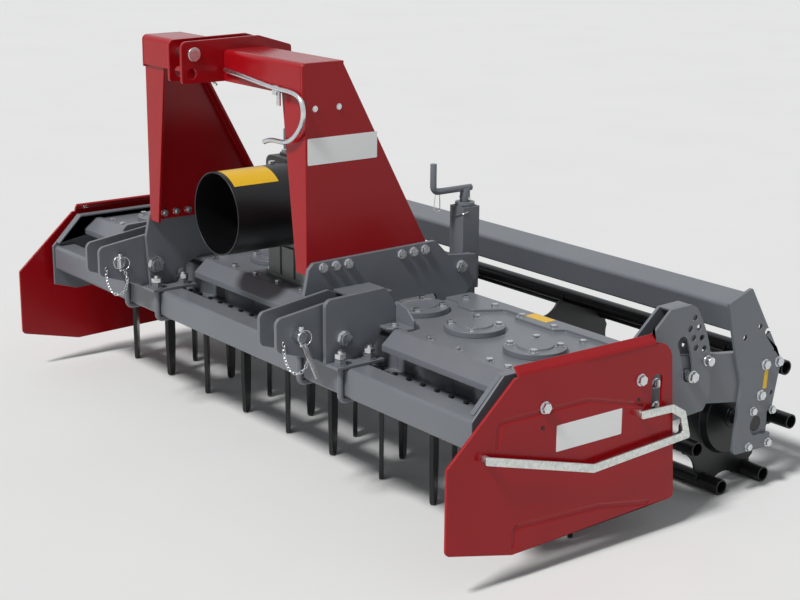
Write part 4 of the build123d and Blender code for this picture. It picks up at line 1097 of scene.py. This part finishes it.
@dataclass
class Trough(SubAssembly):
    """Gear trough with its cover, caps, front guard and the flange under it."""

    cover_top: float = 0.462
    strip_top: float = 0.470
    cap_top: float = 0.476
    cap_bolt_offset: float = 0.042
    pitch: float = 0.22
    cap_count: int = 4
    rim_y: float = -0.140
    rim_step: float = 0.11
    rim_count: int = 8
    rim_gap: tuple[int, ...] = (4, 5)
    rim_end_x: float = 0.945
    corner_bolt: Flat = (0.530, -0.150)
    strip_end_bolt: Flat = (0.896, 0.139)
    strip_bolts: tuple[Flat, ...] = ((0.443, 0.151), (0.547, 0.161), (0.659, 0.155), (0.781, 0.150))
    rear_bolts: tuple[float, ...] = (0.11, 0.22, 0.33)
    rear_bolt_y: float = 0.165
    flange_top: float = 0.348
    flange_bolt_y: float = 0.1592
    flange_bolts: int = 35
    flange_step: float = 0.0548
    sticker_low: Flat = (0.657, 0.166)
    sticker_high: Flat = (0.735, 0.200)

    def build(self) -> None:
        """Dress the trough and bolt its cover, caps and flange."""
        self.soften_all("trough", "trough_cover", "bearing_housings", "rotor_caps", "front_guard")
        up = (0, 0, 1)
        # The middle rotor has no cap, as the gearbox stands on it
        for number in (n for n in range(-self.cap_count, self.cap_count + 1) if n):
            for dx in (-self.cap_bolt_offset, self.cap_bolt_offset):
                for dy in (-self.cap_bolt_offset, self.cap_bolt_offset):
                    self.bolt((number * self.pitch + dx, dy, self.cap_top), up, 0.0100)
        plain = FastenerKind.PLAIN_HEAD
        for number in range(-self.rim_count, self.rim_count + 1):
            if abs(number) not in self.rim_gap:
                self.bolt((number * self.rim_step, self.rim_y, self.cover_top), up, 0.010)
        for _, side in SIDES:
            self.bolt((side * self.rim_end_x, self.rim_y, self.cover_top), up, 0.010)
            x, y = self.corner_bolt
            self.bolt((side * x, y, self.cover_top + 0.006), up, 0.010)
            for x, y in self.strip_bolts:
                self.bolt((side * x, y, self.strip_top), up, 0.0095, plain)
            x, y = self.strip_end_bolt
            self.bolt((side * x, y, self.cover_top), up, 0.0095, plain)
            for x in self.rear_bolts:
                self.bolt((side * x, self.rear_bolt_y, self.cover_top), up, 0.009, plain, Finish.GREY)
        # Bolts that hold the flange under the trough
        for number in range(self.flange_bolts):
            x = (number - self.flange_bolts // 2) * self.flange_step
            for _, side in SIDES:
                place = (x, side * self.flange_bolt_y, self.flange_top)
                self.bolt(place, up, 0.0075, plain, Finish.BLACK)
        bench = self.shop.bench()
        (x0, y0), (x1, y1), z = self.sticker_low, self.sticker_high, self.strip_top
        bench.plate([(x0, y0, z), (x1, y0, z), (x1, y1, z), (x0, y1, z)], (0, 0, STICKER_DEPTH), corner=0.003)
        self.piece("cover_sticker", bench, Finish.YELLOW_VINYL)


@dataclass
class Drive(SubAssembly):
    """Gearbox, its guard and the splined shaft."""

    axis_z: float = 0.677
    half: float = 0.118
    guard_radius: float = 0.110
    pedestal: float = 0.095
    pedestal_front: float = -0.100
    rib_foot: float = 0.472
    rib_ys: tuple[float, ...] = (-0.062, -0.026, 0.010, 0.046, 0.080)
    rib_size: Point = (0.026, 0.009, 0.078)
    front_rib_xs: tuple[float, ...] = (-0.066, 0.0, 0.066)
    front_rib_size: Point = (0.055, 0.018, 0.082)
    lid_half: float = 0.092
    lid_ys: Flat = (-0.078, 0.108)
    lid_depth: float = 0.007
    lid_bolt_ys: tuple[float, ...] = (-0.064, 0.015, 0.094)
    foot_half: float = 0.118
    foot_ys: Flat = (-0.112, 0.128)
    foot_low: float = 0.462
    foot_depth: float = 0.012
    foot_bolt_ys: tuple[float, ...] = (-0.095, 0.015, 0.112)
    # Bolt circles: radius, and Y of the face they are on
    rear_circle: Flat = (0.074, 0.139)
    nose_circle: Flat = (0.049, -0.130)
    side_circle_radius: float = 0.056
    side_cover_y: float = 0.015
    side_cover_depth: float = 0.008
    breather: Flat = (0.03, 0.03)
    sticker_ys: Flat = (-0.318, -0.183)

    def build(self) -> None:
        """Dress the drive and add the details of its casting."""
        self.shop.soften("gearbox", 0.004, Finish.CAST)
        self.soften_all("pto_guard", "input_shaft")
        self._ribs()
        self._covers()
        self._guard()

    def _ribs(self) -> None:
        """Stand the ribs of the pedestal under the box."""
        tree = RibTree()
        side_places = [(side * (self.pedestal + 0.006), y) for _, side in SIDES for y in self.rib_ys]
        front_places = [(x, self.pedestal_front) for x in self.front_rib_xs]
        for name, places, size in (
            ("gearbox_side_ribs", side_places, self.rib_size),
            ("gearbox_front_ribs", front_places, self.front_rib_size),
        ):
            points = [self.shop.place(x, y, self.rib_foot + size[2] / 2) for x, y in places]
            values = {"Rib Size": size, "Finish": self.shop.finishes[Finish.CAST]}
            mesh = tree.run(self.shop.points("rib places", points), values)
            self.shop.add_piece(name, mesh, self.body, Finish.CAST)

    def _covers(self) -> None:
        """Add the top cover, the rear cover, the foot flange and the breather."""
        bench = self.shop.bench()
        top = self.axis_z + self.half
        for half, (front, rear), z, depth, corner in (
            (self.lid_half, self.lid_ys, top, self.lid_depth, 0.018),
            (self.foot_half, self.foot_ys, self.foot_low, self.foot_depth, 0.022),
        ):
            outline = [(-half, front, z), (half, front, z), (half, rear, z), (-half, rear, z)]
            bench.plate(outline, (0, 0, depth), corner=corner)
        bench.bar((0, 0.130, self.axis_z), (0, 0.139, self.axis_z), 0.086, 48)
        bench.bar((0, 0.139, self.axis_z), (0, 0.152, self.axis_z), 0.044, 40, 0.040)
        for _, side in SIDES:
            x = side * self.half
            y, z = self.side_cover_y, self.axis_z
            bench.bar((x, y, z), (x + side * self.side_cover_depth, y, z), 0.068, 44)
        self.piece("gearbox_covers", bench, Finish.CAST, 0.0015)
        plain = FastenerKind.PLAIN_HEAD
        for k in range(8):
            angle = math.tau * (k + 0.5) / 8
            for (radius, y), way, thread in ((self.rear_circle, 1, 0.0085), (self.nose_circle, -1, 0.007)):
                place = (radius * math.cos(angle), y, self.axis_z + radius * math.sin(angle))
                self.bolt(place, (0, way, 0), thread, plain)
        for _, side in SIDES:
            for k in range(6):
                angle = math.tau * (k + 0.5) / 6
                y = self.side_cover_y + self.side_circle_radius * math.cos(angle)
                z = self.axis_z + self.side_circle_radius * math.sin(angle)
                x = side * (self.half + self.side_cover_depth)
                self.bolt((x, y, z), (side, 0, 0), 0.0075, plain)
            for y in self.foot_bolt_ys:
                self.bolt((side * 0.106, y, self.foot_low + self.foot_depth), (0, 0, 1), 0.010, plain)
            for y in self.lid_bolt_ys:
                self.bolt((side * 0.078, y, top + self.lid_depth), (0, 0, 1), 0.008, plain)
        bench = self.shop.bench()
        bench.bar((*self.breather, top + self.lid_depth), (*self.breather, top + 0.016), 0.011, 6)
        bench.bar((*self.breather, top + 0.016), (*self.breather, top + 0.030), 0.009, 24, 0.006)
        self.piece("breather_plug", bench, Finish.ZINC, 0.001)

    def _guard(self) -> None:
        """Bolt the guard and put its plain sticker on."""
        top = self.axis_z + self.guard_radius
        self.bolt((-0.025, -0.139, top - 0.003), (0, 0, 1), 0.010)
        bench = self.shop.bench()
        turns = [math.radians(-4 + 46 * k / 16) for k in range(17)]
        outer, inner = self.guard_radius + 0.0005, self.guard_radius + 0.0001
        front, rear = self.sticker_ys
        outline = [(outer * math.sin(t), front, self.axis_z + outer * math.cos(t)) for t in turns]
        outline += [(inner * math.sin(t), front, self.axis_z + inner * math.cos(t)) for t in reversed(turns)]
        bench.plate(outline, (0, rear - front, 0))
        self.piece("guard_sticker", bench, Finish.YELLOW_VINYL)


@dataclass
class Hitch(SubAssembly):
    """Brackets of the lower links, clamped on the front bar."""

    bracket_x: float = 0.446
    clamp_top: float = 0.399
    ubolt_half: float = 0.088
    ubolt_ys: Flat = (-0.314, -0.228)
    inner_face: float = 0.388
    plate_face: float = 0.400
    cheek_face: float = 0.509
    mast_bolts: tuple[Flat, ...] = (
        (-0.271, 0.606),
        (-0.233, 0.606),
        (-0.195, 0.606),
        (-0.029, 0.606),
        (0.009, 0.607),
        (0.046, 0.608),
    )
    mast_rear_bolt: Flat = (0.168, 0.546)
    cheek_bolt: Flat = (-0.287, 0.455)
    inner_bolt: Flat = (-0.301, 0.460)
    nut_lift: float = 0.0168
    pin: Flat = (-0.406, 0.477)
    # Half of the machine, face that the chain hangs from, middle of the pin's end
    pin_end_xs: tuple[tuple[str, float, float], ...] = (("left", 0.488, 0.503), ("right", -0.404, -0.3955))
    chain_path: tuple[Flat, ...] = (
        (-0.446, 0.462),
        (-0.447, 0.440),
        (-0.443, 0.416),
        (-0.434, 0.396),
        (-0.419, 0.386),
        (-0.403, 0.390),
        (-0.393, 0.404),
        (-0.389, 0.422),
        (-0.392, 0.440),
        (-0.400, 0.455),
    )

    link_sizes: tuple[tuple[str, float], ...] = (
        ("Link Pitch", 0.0088),
        ("Link Length", 0.0125),
        ("Link Width", 0.0072),
        ("Wire Radius", 0.0011),
    )

    def build(self) -> None:
        """Dress the brackets and set their bolts, linchpins and chains."""
        self.soften_all("bar_clamps", "hitch_plates", "clevis_plates", "hitch_cheeks", "lower_pins")
        self.shop.dress("u_bolts")
        for _, side in SIDES:
            for x in (self.bracket_x - self.ubolt_half, self.bracket_x + self.ubolt_half):
                for y in self.ubolt_ys:
                    place = (side * x, y, self.clamp_top)
                    self.bolt(place, (0, 0, 1), 0.016, FastenerKind.LOWER_NUT, Finish.GREY)
                    raised = (side * x, y, self.clamp_top + self.nut_lift)
                    self.bolt(raised, (0, 0, 1), 0.0155, FastenerKind.NUT)
            for y, z in self.mast_bolts:
                self.bolt((side * self.plate_face, y, z), (side, 0, 0), 0.0115)
                inner = (side * (self.inner_face - 0.008), y, z)
                self.bolt(inner, (-side, 0, 0), 0.0105, FastenerKind.NUT)
            self.bolt((side * self.plate_face, *self.mast_rear_bolt), (side, 0, 0), 0.015)
            self.bolt((side * self.cheek_face, *self.cheek_bolt), (side, 0, 0), 0.018)
            self.bolt((side * self.inner_face, *self.inner_bolt), (-side, 0, 0), 0.022)
        self._linchpins()
        self._chains()

    def _linchpins(self) -> None:
        """Put a linchpin with its ring and flat tail through the end of each lower pin."""
        bench = self.shop.bench()
        y, z = self.pin
        for name, _, x in self.pin_end_xs:
            bench.bar((x, y, z + 0.024), (x, y, z - 0.024), 0.0045, 16)
            bench.bar((x, y, z + 0.016), (x, y, z + 0.026), 0.0085, 20, 0.0065)
            bench.ring((x + 0.0085, y + 0.006, z - 0.002), 0.0185, 0.0014)
            # Only the left one shows a tail
            if name == "right":
                continue
            tail = [
                (x + 0.010, y - 0.006, z - 0.018),
                (x + 0.010, y + 0.006, z - 0.013),
                (x + 0.010, y + 0.047, z - 0.104),
                (x + 0.010, y + 0.034, z - 0.110),
            ]
            bench.plate(tail, (0.002, 0, 0), corner=0.003)
        self.piece("linchpins", bench, Finish.ZINC, 0.0006)

    def _chains(self) -> None:
        """Hang the thin chain of each linchpin from its clevis plate."""
        tree = ChainTree()
        values = {**dict(self.link_sizes), "Finish": self.shop.finishes[Finish.ZINC]}
        for name, face, pin_end in self.pin_end_xs:
            steps = len(self.chain_path) - 1
            line = []
            for k, (y, z) in enumerate(self.chain_path):
                x = face + 0.0015 + (pin_end - face + 0.0085) * k / steps
                line.append(self.shop.place(x, y, z))
            line = ease_corners(line, 0.008, False, 2)
            mesh = tree.run(self.shop.points("chain line", line, lined=True), values)
            self.shop.add_piece(f"linchpin_chain_{name}", mesh, self.body, Finish.ZINC)


@dataclass
class Mast(SubAssembly):
    """Arms, cross beam and ears of the upper link."""

    web_face: float = 0.388
    label: tuple[Flat, ...] = ((-0.305, 0.860), (-0.098, 0.860), (-0.098, 0.925), (-0.305, 0.925))
    dots: tuple[Flat, ...] = ((-0.283, 0.996), (-0.213, 0.996))
    # Clamp of the shaft hook under the beam: two corners of each block
    clamp_blocks: tuple[tuple[Point, Point], ...] = (
        ((0.270, -0.3285, 1.020), (0.296, -0.3195, 1.044)),
        ((0.290, -0.3285, 0.996), (0.303, -0.3235, 1.030)),
    )
    hook_clip: tuple[Point, ...] = (
        (-0.046, -0.3225, 1.048),
        (-0.046, -0.3225, 1.026),
        (0.004, -0.3225, 1.014),
    )
    pin_clip: Point = (-0.0500, -0.412, 1.083)

    def build(self) -> None:
        """Dress the mast, its plain labels and the holder of the shaft hook."""
        self.soften_all("mast_arm_left", "mast_arm_right", "mast_beam", "top_link_ears", "top_link_pin")
        self.shop.dress("shaft_hook")
        for name, side in SIDES:
            self.sticker(f"mast_label_{name}", self.web_face, side, self.label, Finish.WHITE_VINYL)
            for y, z in self.dots:
                self.bolt((side * self.web_face, y, z), (side, 0, 0), 0.009, FastenerKind.RIVET)
        bench = self.shop.bench()
        for low, high in self.clamp_blocks:
            bench.block(low, high)
        # Clip that holds the hook's free end
        bench.rod(list(self.hook_clip), 0.0035, bend=0.006)
        self.piece("hook_clamp", bench, Finish.ZINC, 0.0008)
        bench = self.shop.bench()
        # Wire clip through the far end of the top link pin
        bench.ring(self.pin_clip, 0.019, 0.0013)
        self.piece("top_pin_clip", bench, Finish.ZINC)


@dataclass
class SidePanels(SubAssembly):
    """Red side plates, their spacers and the bent guard bars."""

    plate_face: float = 1.064
    bar_near: float = 1.080
    bar_far: float = 1.085
    big_bolts: tuple[Flat, ...] = ((-0.134, 0.401), (0.167, 0.408))
    # From a big bolt to the black dot of painted shade that stands for the spare hole under it, and how deep
    # the dot is sunk
    plug_shift: Flat = (-0.003, -0.048)
    plug_sunk: float = 0.0012
    bar_bolts: tuple[Flat, ...] = ((-0.308, 0.3185), (0.165, 0.328))
    bar_outline: tuple[Flat, ...] = (
        (-0.320, 0.331),
        (-0.320, 0.311),
        (0.007, 0.220),
        (0.325, 0.238),
        (0.304, 0.309),
        (0.262, 0.334),
        (0.155, 0.338),
        (0.155, 0.318),
        (0.256, 0.315),
        (0.288, 0.295),
        (0.299, 0.256),
        (0.007, 0.241),
    )
    label: tuple[Flat, ...] = ((-0.095, 0.287), (0.110, 0.287), (0.110, 0.350), (-0.095, 0.350))

    def build(self) -> None:
        """Dress the side panels, bolt them and stick on their plain labels."""
        self.soften_all("side_plate_left", "side_plate_right")
        self.shop.dress("side_spacers")
        bench = self.shop.bench()
        for name, side in SIDES:
            depth = (side * (self.bar_far - self.bar_near), 0, 0)
            bench.plate([(side * self.bar_near, y, z) for y, z in self.bar_outline], depth, corner=0.006)
            for y, z in self.bar_bolts:
                bench.bar((side * self.plate_face, y, z), (side * (self.bar_near + 0.002), y, z), 0.0085, 20)
            for y, z in self.big_bolts:
                self.bolt((side * self.plate_face, y, z), (side, 0, 0), 0.0135)
                # A small black knob sunk into the plate paints the shade of the spare hole under each big
                # bolt
                dy, dz = self.plug_shift
                hole_shade_spot = (side * (self.plate_face - self.plug_sunk), y + dy, z + dz)
                self.bolt(hole_shade_spot, (side, 0, 0), 0.007, FastenerKind.RIVET, Finish.PLASTIC)
            self.sticker(f"side_label_{name}", self.plate_face, side, self.label, Finish.WHITE_VINYL)
        piece = self.piece("guard_bars_bent", bench, Finish.GALVANISED, 0.0007)
        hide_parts("guard_bars")


@dataclass
class RollerFrame(SubAssembly):
    """Arms, end plates and square bar that carry the roller."""

    body: str = "roller_frame"
    lug_face: float = 1.023
    slot_bolt: Flat = (0.3712, 0.36996)
    slot_bolt_end: float = 1.038
    lug_bolts: tuple[Point, ...] = (
        (0.656, 0.345, 0.0128),
        (0.706, 0.344, 0.0128),
        (0.645, 0.265, 0.0128),
        (0.620, 0.227, 0.0105),
        (0.694, 0.217, 0.0105),
        (0.610, 0.133, 0.0105),
        (0.684, 0.130, 0.0105),
    )
    sticker_outline: tuple[Flat, ...] = ((0.658, 0.330), (0.671, 0.328), (0.667, 0.278), (0.653, 0.280))

    def build(self) -> None:
        """Dress the roller frame and bolt its end plates."""
        self.soften_all("roller_arms", "roller_end_plates", "rear_bar")
        self.shop.dress("slot_bolts")
        for name, side in SIDES:
            for y, z, thread in self.lug_bolts:
                self.bolt((side * self.lug_face, y, z), (side, 0, 0), thread)
            place = (side * self.slot_bolt_end, *self.slot_bolt)
            self.bolt(place, (side, 0, 0), 0.0140)
            piece_name = f"end_plate_sticker_{name}"
            self.sticker(piece_name, self.lug_face, side, self.sticker_outline, Finish.YELLOW_VINYL)


@dataclass
class CageRoller(SubAssembly):
    """Tubes in scalloped discs on one axle."""

    def build(self) -> None:
        """Dress the roller."""
        self.soften_all("roller_tubes", "roller_discs", "roller_axle")


@dataclass
class RotorRow(SubAssembly):
    """Nine rotors with their knife tines."""

    count: int = 9

    def build(self) -> None:
        """Dress every rotor and its tines."""
        for number in range(1, self.count + 1):
            self.soften_all(f"rotor_{number}", f"tines_{number}")


@dataclass
class Levelling(SubAssembly):
    """Levelling bar, its upright tubes and their cranks."""

    crank_x: float = 0.343
    post_y: float = 0.225
    arm_z: float = 0.738
    grip_y: float = 0.118
    grip_top: float = 0.813
    cap_low: float = 0.692
    cap_top: float = 0.702
    rod: float = 0.0085
    pin_z: float = 0.712
    pin_half: float = 0.019
    clip_path: tuple[Flat, ...] = ((0.127, 0.747), (0.139, 0.747), (0.141, 0.686), (0.120, 0.684))

    def build(self) -> None:
        """Dress the levelling gear and bend its cranks."""
        self.soften_all("crank_tubes", "levelling_bar")
        bench = self.shop.bench()
        clips = self.shop.bench()
        for _, side in SIDES:
            x = side * self.crank_x
            bench.bar((x, self.post_y, self.cap_low), (x, self.post_y, self.cap_top), 0.026, 36)
            bench.bar((x, self.post_y, self.cap_top), (x, self.post_y, self.arm_z), 0.0135, 28)
            path = [
                (x, self.post_y + 0.020, self.arm_z),
                (x, self.grip_y, self.arm_z),
                (x, self.grip_y, self.grip_top),
            ]
            bench.rod(path, self.rod, bend=0.016, sides=20)
            # Cross pin of the post, wire clip on the crank and the wire round the tube
            y, z = self.post_y, self.pin_z
            clips.bar((x - self.pin_half, y, z), (x + self.pin_half, y, z), 0.004, 16)
            clips.rod([(x, *point) for point in self.clip_path], 0.0012, bend=0.004, sides=8, closed=True)
            wire = [
                (x - side * 0.020, 0.1955, 0.657),
                (x + side * 0.0295, 0.1955, 0.676),
                (x + side * 0.0295, 0.212, 0.680),
            ]
            clips.rod(wire, 0.0013, bend=0.002, sides=8)
        cranks = self.piece("bent_cranks", bench, Finish.GREY, 0.0008)
        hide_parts("crank_handles")
        self.piece("crank_clips", clips, Finish.ZINC)


def main() -> None:
    """Build every sub-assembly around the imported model."""
    logging.basicConfig(level=logging.INFO, format="%(message)s")
    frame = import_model()
    shop = Workshop(frame)
    Viewpoint().build(shop.row_y)
    Studio().build()
    for group in (
        Headstock(shop),
        Trough(shop),
        Drive(shop),
        Hitch(shop),
        Mast(shop),
        SidePanels(shop),
        RollerFrame(shop),
        CageRoller(shop),
        RotorRow(shop),
        Levelling(shop),
    ):
        group.build()
    shop.set_fasteners()


if __name__ == "__main__":
    main()
